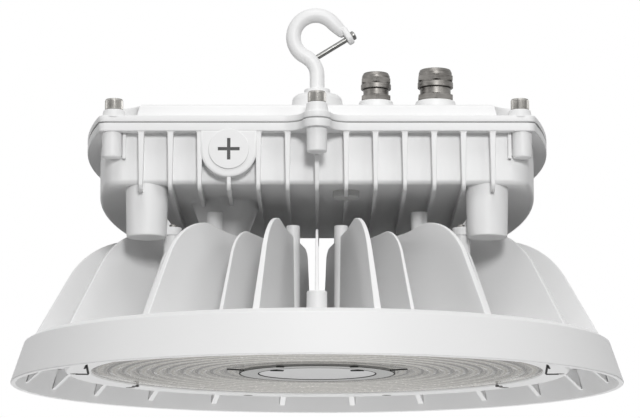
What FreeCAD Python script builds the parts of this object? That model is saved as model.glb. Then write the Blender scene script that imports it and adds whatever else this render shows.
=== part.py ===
"""A round high bay light: a finned light head under a cast driver box that hangs from a hook.

Lengths are millimetres. The origin is the centre of the lower edge of the rim, +Z is up,
-Y is the front with the large blanking plug.
"""
import FreeCAD, Part
import math
import os

import Sketcher

V = FreeCAD.Vector
UP = V(0, 0, 1)

SIZES = [
    # rim
    ("rim_radius", 228.0),
    ("rim_height", 33.0),
    ("rim_shoulder", 30.0),
    ("rim_inner_shoulder", 29.0),
    ("rim_lean", 10.0),
    ("rim_wall", 4.0),
    ("rim_lip", 5.0),
    ("rim_land", 4.5),
    # plate
    ("plate_radius", 189.0),
    ("plate_bottom", 16.0),
    ("plate_thickness", 6.0),
    ("plate_edge_depth", 3.0),
    ("plate_edge_inner", 173.5),
    # main fins
    ("fin_count", 16.0),
    ("fin_thickness", 4.6),
    ("fin_draft", 0.85),
    ("fin_foot_radius", 212.5),
    ("fin_foot_height", 31.5),
    ("fin_shoulder_radius", 187.0),
    ("fin_shoulder_height", 77.0),
    ("fin_crest_radius", 140.0),
    ("fin_crest_height", 105.5),
    ("fin_crest_round", 55.0),
    ("fin_waist_radius", 117.0),
    ("fin_waist_height", 101.3),
    ("fin_top_inner_radius", 50.0),
    ("fin_top_height", 97.0),
    ("fin_nose_radius", 42.4),
    ("fin_nose_height", 93.0),
    ("fin_inner_radius", 36.6),
    ("fin_inner_height", 55.0),
    # minor fins
    ("minor_fin_thickness", 3.3),
    ("minor_fin_draft", 0.55),
    ("minor_foot_radius", 181.5),
    ("minor_shoulder_radius", 157.0),
    ("minor_shoulder_height", 78.0),
    ("minor_crest_radius", 130.0),
    ("minor_crest_height", 99.0),
    ("minor_crest_round", 32.0),
    ("minor_inner_radius", 60.0),
    ("minor_inner_height", 96.0),
    # gussets
    ("gusset_count", 24.0),
    ("gusset_thickness", 3.6),
    ("gusset_top", 17.0),
    ("gusset_apex", 5.5),
    ("gusset_foot", 13.5),
    ("gusset_apex_radius", 223.2),
    ("gusset_outer_radius", 219.0),
    # columns, stems and bosses that stand between the fins
    ("column_ring", 89.0),
    ("column_radius", 5.0),
    ("column_top", 108.0),
    ("stem_ring", 105.0),
    ("stem_radius", 5.8),
    ("stem_top", 120.0),
    ("boss_ring", 175.0),
    ("boss_radius", 7.0),
    ("boss_top", 49.0),
    # light board
    ("board_inner_radius", 60.0),
    ("board_outer_radius", 160.0),
    ("board_thickness", 1.6),
    ("led_side", 3.5),
    ("led_height", 0.7),
    ("led_pitch", 60.0),
    ("led_ring_first", 72.0),
    ("led_ring_step", 12.4),
    ("led_ring_count", 8.0),
    ("led_ring_turn", 17.0),
    # lens
    ("lens_radius", 171.0),
    ("lens_inner_radius", 55.0),
    ("lens_thickness", 2.0),
    ("lens_ridge_depth", 1.3),
    ("lens_gasket_width", 7.0),
    # lens frame
    ("frame_inner_radius", 165.8),
    ("frame_outer_radius", 188.0),
    ("frame_lip", 1.5),
    ("frame_inner_bevel", 1.0),
    ("frame_outer_bevel", 1.5),
    ("frame_screw_ring", 181.0),
    ("frame_screw_count", 10.0),
    ("frame_screw_radius", 2.0),
    ("frame_screw_head_radius", 3.8),
    ("frame_screw_length", 9.0),
    ("frame_screw_socket_flats", 2.4),
    ("frame_screw_socket_depth", 1.3),
    # centre of the lens
    ("centre_ring_radius", 57.5),
    ("centre_ring_bore", 44.2),
    ("centre_ring_ledge", 40.0),
    ("centre_cover_radius", 43.5),
    ("centre_cover_thickness", 1.8),
    ("centre_cover_recess", 0.3),
    ("centre_cover_dome", 0.7),
    ("centre_seal_thickness", 1.0),
    ("centre_neck_radius", 36.0),
    ("centre_neck_top", 15.5),
    # driver box base
    ("box_bottom", 131.0),
    ("box_half_depth", 131.0),
    ("box_half_width", 151.3),
    ("box_corner", 14.0),
    ("box_side_round", 689.0),
    ("box_edge_round", 8.0),
    ("box_wall", 4.0),
    ("flange_bottom", 167.7),
    ("flange_thickness", 6.0),
    ("flange_half_depth", 140.0),
    ("flange_half_width", 157.5),
    ("flange_corner", 11.5),
    ("flange_side_round", 600.0),
    ("bulge_round", 10.0),
    ("bulge_blend", 14.0),
    ("seal_thickness", 0.8),
    ("seal_inset", 0.6),
    # ribs of the base
    ("rib_count", 13.0),
    ("rib_pitch", 20.87),
    ("rib_thickness", 4.3),
    ("rib_draft", 1.1),
    ("rib_half_depth", 139.2),
    ("rib_bottom", 125.5),
    # posts of the base
    ("post_x", 121.2),
    ("post_y", 115.0),
    ("post_radius", 15.2),
    ("post_draft", 1.44),
    ("post_bottom", 95.0),
    ("post_end_round", 1.0),
    # ears of the posts, which stand on the seats of the heat sink
    ("ear_bottom", 98.0),
    ("ear_thickness", 6.0),
    ("ear_radius", 6.5),
    ("ear_web_thickness", 3.6),
    ("seat_place", 103.2),
    ("seat_radius", 6.5),
    # cable duct of the base
    ("duct_x", -67.0),
    ("duct_y", -45.0),
    ("duct_top_radius", 26.0),
    ("duct_radius", 13.0),
    ("duct_neck_height", 99.0),
    ("duct_bore", 7.0),
    ("duct_seal_thickness", 1.5),
    ("duct_clearance", 1.5),
    # plug pad and blanking plug
    ("plug_x", -62.3),
    ("plug_z", 154.8),
    ("pad_radius", 20.0),
    ("plug_head_radius", 14.25),
    ("plug_head_depth", 2.0),
    ("plug_thread_radius", 10.0),
    ("plug_length", 11.0),
    ("plug_slot_long", 15.5),
    ("plug_slot_wide", 2.4),
    ("plug_slot_depth", 1.4),
    ("plug_seal_thickness", 0.6),
    ("plug_seal_radius", 13.6),
    # vent plug
    ("vent_x", 20.87),
    ("vent_y", -100.0),
    ("vent_radius", 9.6),
    ("vent_height", 5.0),
    ("vent_stem_radius", 5.0),
    ("vent_stem_length", 8.0),
    ("vent_air_hole_radius", 1.0),
    ("vent_room", 1.0),
    # lid
    ("lid_flange_thickness", 4.7),
    ("lid_top", 190.0),
    ("lid_wall", 6.0),
    ("lid_half_depth", 127.0),
    ("lid_half_width", 128.0),
    ("lid_side_half_depth", 111.0),
    ("lid_side_half_width", 145.5),
    ("lid_draft", 12.0),
    ("lid_corner_round", 19.0),
    # lid screws
    ("corner_screw_x", 144.2),
    ("corner_screw_y", 132.0),
    ("centre_screw_y", 150.0),
    ("screw_boss_radius", 7.4),
    ("screw_boss_bottom", 150.5),
    ("corner_boss_top", 184.0),
    ("centre_boss_top", 186.0),
    ("boss_web_width", 13.8),
    ("boss_web_top", 185.0),
    ("lid_screw_radius", 4.0),
    ("lid_screw_head_radius", 6.5),
    ("lid_screw_head_height", 8.0),
    ("lid_screw_reach", 18.0),
    ("lid_screw_socket_flats", 6.0),
    # hook boss and hook
    ("hook_boss_foot_radius", 25.0),
    ("hook_boss_radius", 19.0),
    ("hook_boss_shoulder", 216.0),
    ("hook_boss_top", 221.5),
    ("hook_collar_radius", 9.8),
    ("hook_collar_top", 226.0),
    ("hook_stock_radius", 5.6),
    ("hook_bend_start", 236.6),
    ("hook_bend_radius", 17.0),
    ("hook_loop_x", -1.1),
    ("hook_loop_z", 266.6),
    ("hook_loop_back", 26.0),
    ("hook_loop_end", 45.0),
    ("hook_tip_length", 14.5),
    ("hook_bottom", 172.0),
    ("hook_nut_height", 9.0),
    ("hook_nut_flats", 18.0),
    ("hook_washer_thickness", 2.5),
    ("hook_washer_radius", 12.0),
    # screw that closes the hook
    ("hook_screw_x", 0.4),
    ("hook_screw_z", 251.2),
    ("hook_screw_angle", 31.8),
    ("hook_screw_bite", 7.0),
    ("hook_screw_radius", 2.0),
    ("hook_screw_head_radius", 3.5),
    ("hook_screw_head_height", 3.0),
    ("hook_lug_thickness", 4.6),
    ("hook_lug_radius", 5.3),
    ("hook_lug_reach", 28.0),
    ("hook_lug_height", 8.7),
    # cable glands
    ("gland_y", -60.0),
    ("pedestal_top", 204.5),
    ("pedestal_edge", 2.0),
    ("pedestal_foot_edge", 4.0),
    ("small_gland_x", 43.4),
    ("small_thread_radius", 8.0),
    ("small_flats", 21.0),
    ("small_gland_height", 23.0),
    ("small_cable_radius", 4.25),
    ("large_gland_x", 87.2),
    ("large_thread_radius", 10.0),
    ("large_flats", 25.0),
    ("large_gland_height", 27.0),
    ("large_cable_radius", 5.25),
    ("gland_hex_share", 0.2),
    ("gland_skirt_share", 0.42),
    ("gland_band_share", 0.6),
    ("gland_dome_share", 0.8),
    ("gland_mouth_share", 1.02),
    ("gland_seal_share", 0.92),
    ("gland_bore_share", 0.62),
    ("gland_collar_inset", 1.2),
    ("gland_skirt_edge", 0.6),
    ("gland_thread_length", 10.0),
    # inside the driver box
    ("driver_length", 190.0),
    ("driver_width", 68.0),
    ("driver_height", 31.0),
    ("driver_x", 5.0),
    ("driver_y", 52.0),
    ("driver_ear", 14.0),
    ("driver_foot_thickness", 1.5),
    ("driver_screw_spacing", 205.4),
    ("driver_screw_radius", 2.0),
    ("driver_screw_head_radius", 3.5),
    ("driver_screw_head_height", 2.6),
    ("terminal_x", 62.0),
    ("terminal_y", -45.0),
    ("terminal_length", 58.0),
    ("terminal_width", 22.0),
    ("terminal_height", 20.0),
    ("terminal_ways", 4.0),
    ("terminal_well_radius", 3.0),
    ("terminal_well_depth", 6.0),
    ("wire_radius", 2.0),
    ("wire_spacing", 5.6),
    ("wire_bend_radius", 15.0),
    ("ear_screw_radius", 3.0),
    ("ear_screw_head_radius", 5.0),
    ("ear_screw_head_height", 3.0),
    ("ear_screw_reach", 8.0),
    # fits; root is how deep a form reaches into the one it stands on, over how far a cut runs past a face
    ("clearance", 0.15),
    ("root", 2.0),
    ("over", 1.0),
]

doc = FreeCAD.newDocument("HighBayLight")
sheet = doc.addObject("Spreadsheet::Sheet", "Sizes")
for row, (name, value) in enumerate(SIZES, start=1):
    sheet.set(f"A{row}", name)
    sheet.set(f"B{row}", str(value))
    sheet.setAlias(f"B{row}", name)
doc.recompute()


class Length:
    """A size that carries its value and the sheet expression that gives it."""

    def __init__(self, value, text):
        self.value = float(value)
        self.text = text

    def __add__(self, other):
        other = length(other)
        return Length(self.value + other.value, f"({self.text} + {other.text})")

    def __radd__(self, other):
        return length(other) + self

    def __sub__(self, other):
        other = length(other)
        return Length(self.value - other.value, f"({self.text} - {other.text})")

    def __rsub__(self, other):
        return length(other) - self

    def __mul__(self, other):
        other = length(other)
        return Length(self.value * other.value, f"({self.text} * {other.text})")

    __rmul__ = __mul__

    def __truediv__(self, other):
        other = length(other)
        return Length(self.value / other.value, f"({self.text} / {other.text})")

    def __rtruediv__(self, other):
        return length(other) / self

    def __neg__(self):
        return Length(-self.value, f"(-{self.text})")


def length(item):
    """Gives a plain number the same form as a sheet size."""
    if isinstance(item, Length):
        return item
    return Length(item, repr(float(item)))


def size(alias):
    """Reads one size of the sheet."""
    return Length(sheet.get(alias), f"Sizes.{alias}")


def bind(item, name, amount):
    """Sets a property and ties it to the sheet."""
    amount = length(amount)
    if name == "Occurrences":
        item.Occurrences = int(round(amount.value))
    else:
        setattr(item, name, amount.value)
    item.setExpression(name, amount.text)


def new_body(label):
    body = doc.addObject("PartDesign::Body", label.title().replace("_", ""))
    body.Label = label
    return body


def origin_part(body, role):
    return next(item for item in body.Origin.OriginFeatures if item.Role == role)


def new_sketch(body, name, role="XY_Plane", offset=0.0):
    """A sketch on one of the body's own planes, moved along the plane's normal."""
    sketch = body.newObject("Sketcher::SketchObject", name)
    sketch.AttachmentSupport = [(origin_part(body, role), "")]
    sketch.MapMode = "FlatFace"
    offset = length(offset)
    sketch.AttachmentOffset = FreeCAD.Placement(V(0, 0, offset.value), FreeCAD.Rotation())
    sketch.setExpression("AttachmentOffset.Base.z", offset.text)
    return sketch


def place_point(sketch, index, end, x, y):
    """Ties one point of a sketch to its two coordinates."""
    for kind, amount in (("DistanceX", length(x)), ("DistanceY", length(y))):
        constraint = Sketcher.Constraint(kind, -1, 1, index, end, amount.value)
        number = sketch.addConstraint(constraint)
        sketch.setExpression(f"Constraints[{number}]", amount.text)


def fix_radius(sketch, index, radius):
    radius = length(radius)
    number = sketch.addConstraint(Sketcher.Constraint("Radius", index, radius.value))
    sketch.setExpression(f"Constraints[{number}]", radius.text)


def arc_between(start, end, radius):
    """The short arc between two points: to the left of its way if the radius is negative."""
    chord = end - start
    middle = (start + end) * 0.5
    rise = math.sqrt(max(radius * radius - chord.Length ** 2 / 4, 0.0))
    normal = UP.cross(chord).normalize()
    side = 1 if radius > 0 else -1
    centre = middle + normal * rise * side
    top = centre - normal * abs(radius) * side
    return Part.Arc(start, top, end)


def outline(sketch, points, closed=True):
    """A line through points. A point is (x, y), or (x, y, radius) where an arc leads to it."""
    first = sketch.GeometryCount
    corners = [V(length(p[0]).value, length(p[1]).value, 0) for p in points]
    rounds = [length(p[2]) if len(p) > 2 else None for p in points]
    ends = list(range(len(points))) if closed else list(range(1, len(points)))
    for number in ends:
        start = corners[number - 1]
        end = corners[number]
        if rounds[number]:
            sketch.addGeometry(arc_between(start, end, rounds[number].value))
        else:
            sketch.addGeometry(Part.LineSegment(start, end))
    backward = [bool(rounds[number]) and rounds[number].value < 0 for number in ends]
    for step, number in enumerate(ends):
        here = first + step
        here_end = 1 if backward[step] else 2
        if closed or step + 1 < len(ends):
            following = (step + 1) % len(ends)
            after_start = 2 if backward[following] else 1
            after = first + following
            sketch.addConstraint(Sketcher.Constraint("Coincident", here, here_end, after, after_start))
        place_point(sketch, here, here_end, points[number][0], points[number][1])
        if rounds[number]:
            radius = rounds[number]
            fix_radius(sketch, here, radius if radius.value > 0 else -radius)
    if not closed:
        place_point(sketch, first, 2 if backward[0] else 1, points[0][0], points[0][1])


def circle(sketch, x, y, radius):
    index = sketch.addGeometry(Part.Circle(V(length(x).value, length(y).value, 0), UP, length(radius).value))
    place_point(sketch, index, 3, x, y)
    fix_radius(sketch, index, radius)


def rectangle(sketch, x_low, y_low, x_high, y_high):
    outline(sketch, [(x_low, y_low), (x_high, y_low), (x_high, y_high), (x_low, y_high)])


def hexagon(sketch, x, y, flats, corner_first=True):
    """A hexagon by its width across flats."""
    across = length(flats) / math.sqrt(3)
    turn = 0 if corner_first else 30
    points = []
    for step in range(6):
        angle = math.radians(60 * step + turn)
        points.append((length(x) + across * math.cos(angle), length(y) + across * math.sin(angle)))
    outline(sketch, points)


def pad(body, name, sketch, amount, draft=None, down=False, both=False):
    item = body.newObject("PartDesign::Pad", name)
    item.Refine = False
    item.Profile = sketch
    bind(item, "Length", amount)
    item.Reversed = down
    if both:
        item.SideType = "Symmetric"
    if draft is not None:
        bind(item, "TaperAngle", draft)
    sketch.Visibility = False
    return item


def pocket(body, name, sketch, amount, up=False, both=False):
    """A cut that goes against the sketch's normal, or along it with up."""
    item = body.newObject("PartDesign::Pocket", name)
    item.Refine = False
    item.Profile = sketch
    bind(item, "Length", amount)
    item.Reversed = up
    if both:
        item.SideType = "Symmetric"
    return item


def turned(body, name, sketch, cut=False, axis="V_Axis"):
    item = body.newObject("PartDesign::Groove" if cut else "PartDesign::Revolution", name)
    item.Refine = False
    item.Profile = sketch
    item.ReferenceAxis = (sketch, [axis])
    item.Angle = 360
    return item


def polar(body, name, originals, count):
    item = body.newObject("PartDesign::PolarPattern", name)
    item.Refine = False
    item.Originals = originals
    item.Axis = (origin_part(body, "Z_Axis"), [""])
    item.Angle = 360
    bind(item, "Occurrences", count)
    body.Tip = item
    return item


def linear(body, name, originals, reach, count, role="X_Axis"):
    item = body.newObject("PartDesign::LinearPattern", name)
    item.Refine = False
    item.Originals = originals
    item.Direction = (origin_part(body, role), [""])
    bind(item, "Length", reach)
    bind(item, "Occurrences", count)
    body.Tip = item
    return item


def edges_at_height(feature, height):
    """Names of the edges that lie flat at one height."""
    names = []
    for number, edge in enumerate(feature.Shape.Edges, start=1):
        box = edge.BoundBox
        if abs(box.ZMin - height) < 1e-3 and abs(box.ZMax - height) < 1e-3:
            names.append(f"Edge{number}")
    return names


def cosine(angle):
    angle = length(angle)
    return Length(math.cos(math.radians(angle.value)), f"cos({angle.text} * 1deg)")


def sine(angle):
    angle = length(angle)
    return Length(math.sin(math.radians(angle.value)), f"sin({angle.text} * 1deg)")


def root(amount):
    return Length(math.sqrt(amount.value), f"sqrt({amount.text})")


def turn_sketch(sketch, axis, degrees):
    """Turns a sketch about one of its own directions."""
    degrees = length(degrees)
    offset = sketch.AttachmentOffset
    offset.Rotation = FreeCAD.Rotation(axis, degrees.value)
    sketch.AttachmentOffset = offset
    sketch.setExpression("AttachmentOffset.Rotation.Angle", f"{degrees.text} * 1deg")


def corner_end(width, depth, corner, side):
    """Where a rounded corner runs smoothly into a bulging side."""
    lean = (depth - corner) / (side - corner)
    upright = root(1 - lean * lean)
    return width - corner + corner * upright, depth - corner + corner * lean


def box_outline(sketch, inset):
    """The driver box in plan: straight front and back, rounded corners, bulging sides."""
    depth = size("box_half_depth") - inset
    width = size("box_half_width") - inset
    corner = size("box_corner") - inset
    side = size("box_side_round") - inset
    end_x, end_y = corner_end(width, depth, corner, side)
    outline(sketch, [
        (-(width - corner), -depth, corner),
        (width - corner, -depth),
        (end_x, -end_y, corner),
        (end_x, end_y, side),
        (width - corner, depth, corner),
        (-(width - corner), depth),
        (-end_x, end_y, corner),
        (-end_x, -end_y, side),
    ])


def flange_outline(sketch, inset):
    """The joint face in plan: as the box, but wider, with a bulge for each centre screw."""
    depth = size("flange_half_depth") - inset
    width = size("flange_half_width") - inset
    corner = size("flange_corner") - inset
    side = size("flange_side_round") - inset
    seat = size("centre_screw_y")
    crown = size("bulge_round") - inset
    blend = size("bulge_blend") + inset
    rise = depth + blend - seat
    foot = root((crown + blend) * (crown + blend) - rise * rise)
    meet_x = foot * crown / (crown + blend)
    meet_y = seat + rise * crown / (crown + blend)
    end_x, end_y = corner_end(width, depth, corner, side)
    outline(sketch, [
        (-(width - corner), -depth, corner),
        (-foot, -depth),
        (-meet_x, -meet_y, -blend),
        (meet_x, -meet_y, crown),
        (foot, -depth, -blend),
        (width - corner, -depth),
        (end_x, -end_y, corner),
        (end_x, end_y, side),
        (width - corner, depth, corner),
        (foot, depth),
        (meet_x, meet_y, -blend),
        (-meet_x, meet_y, crown),
        (-foot, depth, -blend),
        (-(width - corner), depth),
        (-end_x, end_y, corner),
        (-end_x, -end_y, side),
    ])


def lid_outline(sketch, inset):
    """The raised part of the lid in plan: its corners are cut back round the corner screws."""
    depth = size("lid_half_depth") - inset
    width = size("lid_half_width") - inset
    side_depth = size("lid_side_half_depth") - inset
    side_width = size("lid_side_half_width") - inset
    corner = size("lid_corner_round") + inset
    side = size("flange_side_round") - inset
    outline(sketch, [
        (-width, -depth, -corner),
        (width, -depth),
        (side_width, -side_depth, -corner),
        (side_width, side_depth, side),
        (width, depth, -corner),
        (-width, depth),
        (-side_width, side_depth, -corner),
        (-side_width, -side_depth, side),
    ])


clearance = size("clearance")
root_depth = size("root")
over = size("over")

# heights and places that several pieces share
plate_bottom = size("plate_bottom")
plate_top = plate_bottom + size("plate_thickness")
plate_edge_bottom = plate_bottom - size("plate_edge_depth")
board_bottom = plate_bottom - size("board_thickness")
lens_top = plate_edge_bottom
lens_bottom = lens_top - size("lens_thickness")
frame_bottom = lens_bottom - size("frame_lip")
box_bottom = size("box_bottom")
box_wall = size("box_wall")
box_floor = box_bottom + box_wall
flange_bottom = size("flange_bottom")
flange_top = flange_bottom + size("flange_thickness")
lid_bottom = flange_top + size("seal_thickness")
lid_flange_top = lid_bottom + size("lid_flange_thickness")
lid_top = size("lid_top")
lid_inside = lid_top - box_wall
centre_cover_rim = frame_bottom + size("centre_cover_recess")
centre_cover_top = centre_cover_rim + size("centre_cover_thickness")
centre_ledge = centre_cover_top + size("centre_seal_thickness")
duct_x = size("duct_x")
duct_y = size("duct_y")
duct_foot = plate_top + size("duct_seal_thickness")
SIDES = (-1, 1)
POSTS = [(x * size("post_x"), y * size("post_y")) for x in SIDES for y in SIDES]
SEATS = [(x * size("seat_place"), y * size("seat_place")) for x in SIDES for y in SIDES]
CORNER_SCREWS = [(x * size("corner_screw_x"), y * size("corner_screw_y")) for x in SIDES for y in SIDES]
CENTRE_SCREWS = [(length(0), y * size("centre_screw_y")) for y in SIDES]
GLANDS = [
    ("small", size("small_gland_x"), size("small_thread_radius"), size("small_flats"), size("small_gland_height")),
    ("large", size("large_gland_x"), size("large_thread_radius"), size("large_flats"), size("large_gland_height")),
]


def at_angle(radius, degrees):
    """A point in plan, counted from the front towards +X."""
    angle = math.radians(degrees)
    return radius * math.sin(angle), radius * (-math.cos(angle))


def fin_ring(body, name, corners, thickness, draft, top, turn):
    """Fins that thin towards their crests: a drafted blank, trimmed to its outline and repeated.

    The corners run from the inner foot over the crest to the outer foot.
    """
    foot = plate_top - root_depth
    inner = corners[0][0] - root_depth
    outer = corners[-1][0] + over
    crest = top + root_depth
    blank = new_sketch(body, name + "Foot", offset=foot)
    turn_sketch(blank, V(0, 0, 1), turn)
    rectangle(blank, inner, -thickness / 2, outer, thickness / 2)
    trim = new_sketch(body, name + "Outline", "XZ_Plane")
    turn_sketch(trim, V(0, 1, 0), turn)
    outline(trim, [
        (outer + over, foot),
        (outer + over, crest + over),
        (inner - over, crest + over),
        (inner - over, plate_top),
    ] + corners)
    blade = pad(body, name + "Blank", blank, crest - foot, draft=-draft)
    cut = pocket(body, name + "Trim", trim, thickness + over, both=True)
    return polar(body, name + "Ring", [blade, cut], size("fin_count"))


def make_heat_sink():
    """One casting: plate, fins, rim, gussets and the columns that stand between the fins."""
    body = new_body("heat_sink")
    half_step = 180 / size("fin_count")

    plate = new_sketch(body, "PlateSection", "XZ_Plane")
    outline(plate, [
        (0, plate_bottom),
        (size("plate_edge_inner"), plate_bottom),
        (size("plate_edge_inner"), plate_edge_bottom),
        (size("plate_radius"), plate_edge_bottom),
        (size("plate_radius"), plate_top),
        (0, plate_top),
    ])
    turned(body, "Plate", plate)

    tapped = new_sketch(body, "FrameScrewHolePlan", offset=plate_edge_bottom)
    circle(tapped, *frame_screw_place(), size("frame_screw_radius") + clearance)
    hole = pocket(body, "FrameScrewHole", tapped, frame_screw_top() + over - plate_edge_bottom, up=True)
    polar(body, "FrameScrewHoles", [hole], size("frame_screw_count"))

    rim_top_radius = size("rim_radius") - size("rim_lean")
    foot = plate_top - root_depth
    fin_ring(body, "Fin", [
        (size("fin_inner_radius"), plate_top),
        (size("fin_inner_radius"), size("fin_inner_height")),
        (size("fin_nose_radius"), size("fin_nose_height")),
        (size("fin_top_inner_radius"), size("fin_top_height")),
        (size("fin_waist_radius"), size("fin_waist_height")),
        (size("fin_crest_radius"), size("fin_crest_height")),
        (size("fin_shoulder_radius"), size("fin_shoulder_height"), -size("fin_crest_round")),
        (size("fin_foot_radius"), size("fin_foot_height")),
        (rim_top_radius, foot),
    ], size("fin_thickness"), size("fin_draft"), size("fin_crest_height"), half_step)

    fin_ring(body, "MinorFin", [
        (size("minor_inner_radius"), plate_top),
        (size("minor_inner_radius"), size("minor_inner_height")),
        (size("minor_crest_radius"), size("minor_crest_height")),
        (size("minor_shoulder_radius"), size("minor_shoulder_height"), -size("minor_crest_round")),
        (size("minor_foot_radius"), foot),
    ], size("minor_fin_thickness"), size("minor_fin_draft"), size("minor_crest_height"), 0)

    room = new_sketch(body, "DuctRoomPlan", offset=plate_top)
    circle(room, duct_x, duct_y, size("duct_radius") + size("duct_clearance"))
    pocket(body, "DuctRoom", room, size("fin_crest_height"), up=True)

    seats = new_sketch(body, "SeatPlan", offset=foot)
    heads = new_sketch(body, "SeatScrewHeadPlan", offset=plate_bottom)
    holes = new_sketch(body, "SeatHolePlan", offset=plate_bottom)
    for x, y in SEATS:
        circle(seats, x, y, size("seat_radius"))
        circle(heads, x, y, size("ear_screw_head_radius") + clearance)
        circle(holes, x, y, size("ear_screw_radius") + clearance)
    circle(holes, duct_x, duct_y, size("duct_bore"))
    pad(body, "Seats", seats, size("ear_bottom") - foot)
    pocket(body, "SeatHoles", holes, size("ear_bottom") + over - plate_bottom, up=True)
    pocket(body, "SeatScrewHeads", heads, size("ear_screw_head_height"), up=True)

    rim = new_sketch(body, "RimSection", "XZ_Plane")
    rim_shoulder = size("rim_shoulder")
    rim_inner = rim_top_radius - size("rim_lip") - size("rim_land")
    outline(rim, [
        (size("rim_radius") - size("rim_wall"), 0),
        (size("rim_radius"), 0),
        (rim_top_radius, rim_shoulder),
        (rim_top_radius - size("rim_lip"), size("rim_height")),
        (rim_inner, size("rim_height")),
        (rim_inner, rim_shoulder),
        (rim_top_radius - size("rim_wall"), size("rim_inner_shoulder")),
    ])
    turned(body, "Rim", rim)

    gusset = new_sketch(body, "GussetOutline", "XZ_Plane")
    turn_sketch(gusset, V(0, 1, 0), 180 / size("gusset_count"))
    gusset_inner = size("plate_radius") - root_depth
    outline(gusset, [
        (gusset_inner, size("gusset_foot")),
        (size("gusset_apex_radius"), size("gusset_apex")),
        (size("gusset_outer_radius"), size("gusset_top")),
        (gusset_inner, size("gusset_top")),
    ])
    web = pad(body, "Gusset", gusset, size("gusset_thickness"), both=True)
    polar(body, "GussetRing", [web], size("gusset_count"))

    for name, kind, angles in (
        ("Columns", "column", (-11.25, 11.25, 168.75, -168.75)),
        ("Stems", "stem", (-135, -45, 45, 135)),
        ("Bosses", "boss", (0, 90, 180, 270)),
    ):
        plan = new_sketch(body, name + "Plan", offset=foot)
        for angle in angles:
            circle(plan, *at_angle(size(kind + "_ring"), angle), size(kind + "_radius"))
        pad(body, name, plan, size(kind + "_top") - foot)
    return body


def frame_screw_place():
    """The first frame screw sits half a step from the front."""
    ring = size("frame_screw_ring")
    half_step = 180 / size("frame_screw_count")
    return ring * sine(half_step), -ring * cosine(half_step)


def frame_screw_top():
    return frame_bottom + size("frame_screw_length")


def make_led_board():
    body = new_body("led_board")
    plan = new_sketch(body, "BoardPlan", offset=board_bottom)
    circle(plan, 0, 0, size("board_outer_radius"))
    circle(plan, 0, 0, size("board_inner_radius"))
    circle(plan, duct_x, duct_y, size("duct_bore"))
    pad(body, "Board", plan, size("board_thickness"))
    return body


def make_leds():
    """Light sources in rings under the board, left out where the wires come through."""
    side = size("led_side").value
    height = size("led_height").value
    top = board_bottom.value
    chips = []
    for ring in range(int(size("led_ring_count").value)):
        radius = size("led_ring_first").value + ring * size("led_ring_step").value
        count = round(2 * math.pi * radius / size("led_pitch").value)
        for number in range(count):
            angle = math.radians(360 * number / count + size("led_ring_turn").value * ring)
            centre = V(radius * math.cos(angle), radius * math.sin(angle), 0)
            if (centre - V(duct_x.value, duct_y.value, 0)).Length < size("duct_bore").value + side:
                continue
            chip = Part.makeBox(side, side, height, V(-side / 2, -side / 2, top - height))
            chip.rotate(V(0, 0, 0), UP, math.degrees(angle))
            chip.translate(centre)
            chips.append(chip)
    item = doc.addObject("Part::Feature", "Leds")
    item.Label = "leds"
    item.Shape = Part.makeCompound(chips)
    item.Placement = FreeCAD.Placement()
    return item


def make_lens():
    """A clear ring with one ridge under each ring of lights."""
    body = new_body("lens")
    section = new_sketch(body, "LensSection", "XZ_Plane")
    step = size("led_ring_step")
    points = [(size("lens_inner_radius"), lens_top), (size("lens_inner_radius"), lens_bottom)]
    first = size("led_ring_first") - step / 2
    points.append((first, lens_bottom))
    for ring in range(int(size("led_ring_count").value)):
        points.append((first + step * (ring + 0.5), lens_bottom - size("lens_ridge_depth")))
        points.append((first + step * (ring + 1), lens_bottom))
    points.append((size("lens_radius"), lens_bottom))
    points.append((size("lens_radius"), lens_top))
    outline(section, points)
    turned(body, "Lens", section)
    return body


def make_lens_gasket():
    body = new_body("lens_gasket")
    plan = new_sketch(body, "GasketPlan", offset=lens_top)
    circle(plan, 0, 0, size("lens_radius"))
    circle(plan, 0, 0, size("lens_radius") - size("lens_gasket_width"))
    pad(body, "Gasket", plan, size("plate_edge_depth"))
    return body


def make_lens_frame():
    body = new_body("lens_frame")
    section = new_sketch(body, "FrameSection", "XZ_Plane")
    inner = size("frame_inner_radius")
    outer = size("frame_outer_radius")
    seat = size("lens_radius") + clearance
    outline(section, [
        (inner, lens_bottom),
        (inner + size("frame_inner_bevel"), frame_bottom),
        (outer - size("frame_outer_bevel"), frame_bottom),
        (outer, frame_bottom + size("frame_outer_bevel")),
        (outer, plate_edge_bottom),
        (seat, plate_edge_bottom),
        (seat, lens_bottom),
    ])
    turned(body, "Frame", section)
    place_x, place_y = frame_screw_place()
    sink = body.newObject("PartDesign::SubtractiveCone", "Countersink")
    bind(sink, "Radius1", size("frame_screw_head_radius") + clearance)
    bind(sink, "Radius2", size("frame_screw_radius") + clearance)
    bind(sink, "Height", size("frame_screw_head_radius") - size("frame_screw_radius"))
    set_place(sink, place_x, place_y, frame_bottom)
    plan = new_sketch(body, "ScrewHolePlan", offset=frame_bottom)
    circle(plan, place_x, place_y, size("frame_screw_radius") + clearance)
    hole = pocket(body, "ScrewHole", plan, plate_edge_bottom - frame_bottom + over, up=True)
    polar(body, "ScrewHoles", [sink, hole], size("frame_screw_count"))
    return body


def set_place(item, x, y, z):
    """Puts a feature at a point and ties the point to the sheet."""
    item.Placement = FreeCAD.Placement(V(length(x).value, length(y).value, length(z).value), item.Placement.Rotation)
    for axis, amount in (("x", x), ("y", y), ("z", z)):
        item.setExpression(f"Placement.Base.{axis}", length(amount).text)


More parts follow.
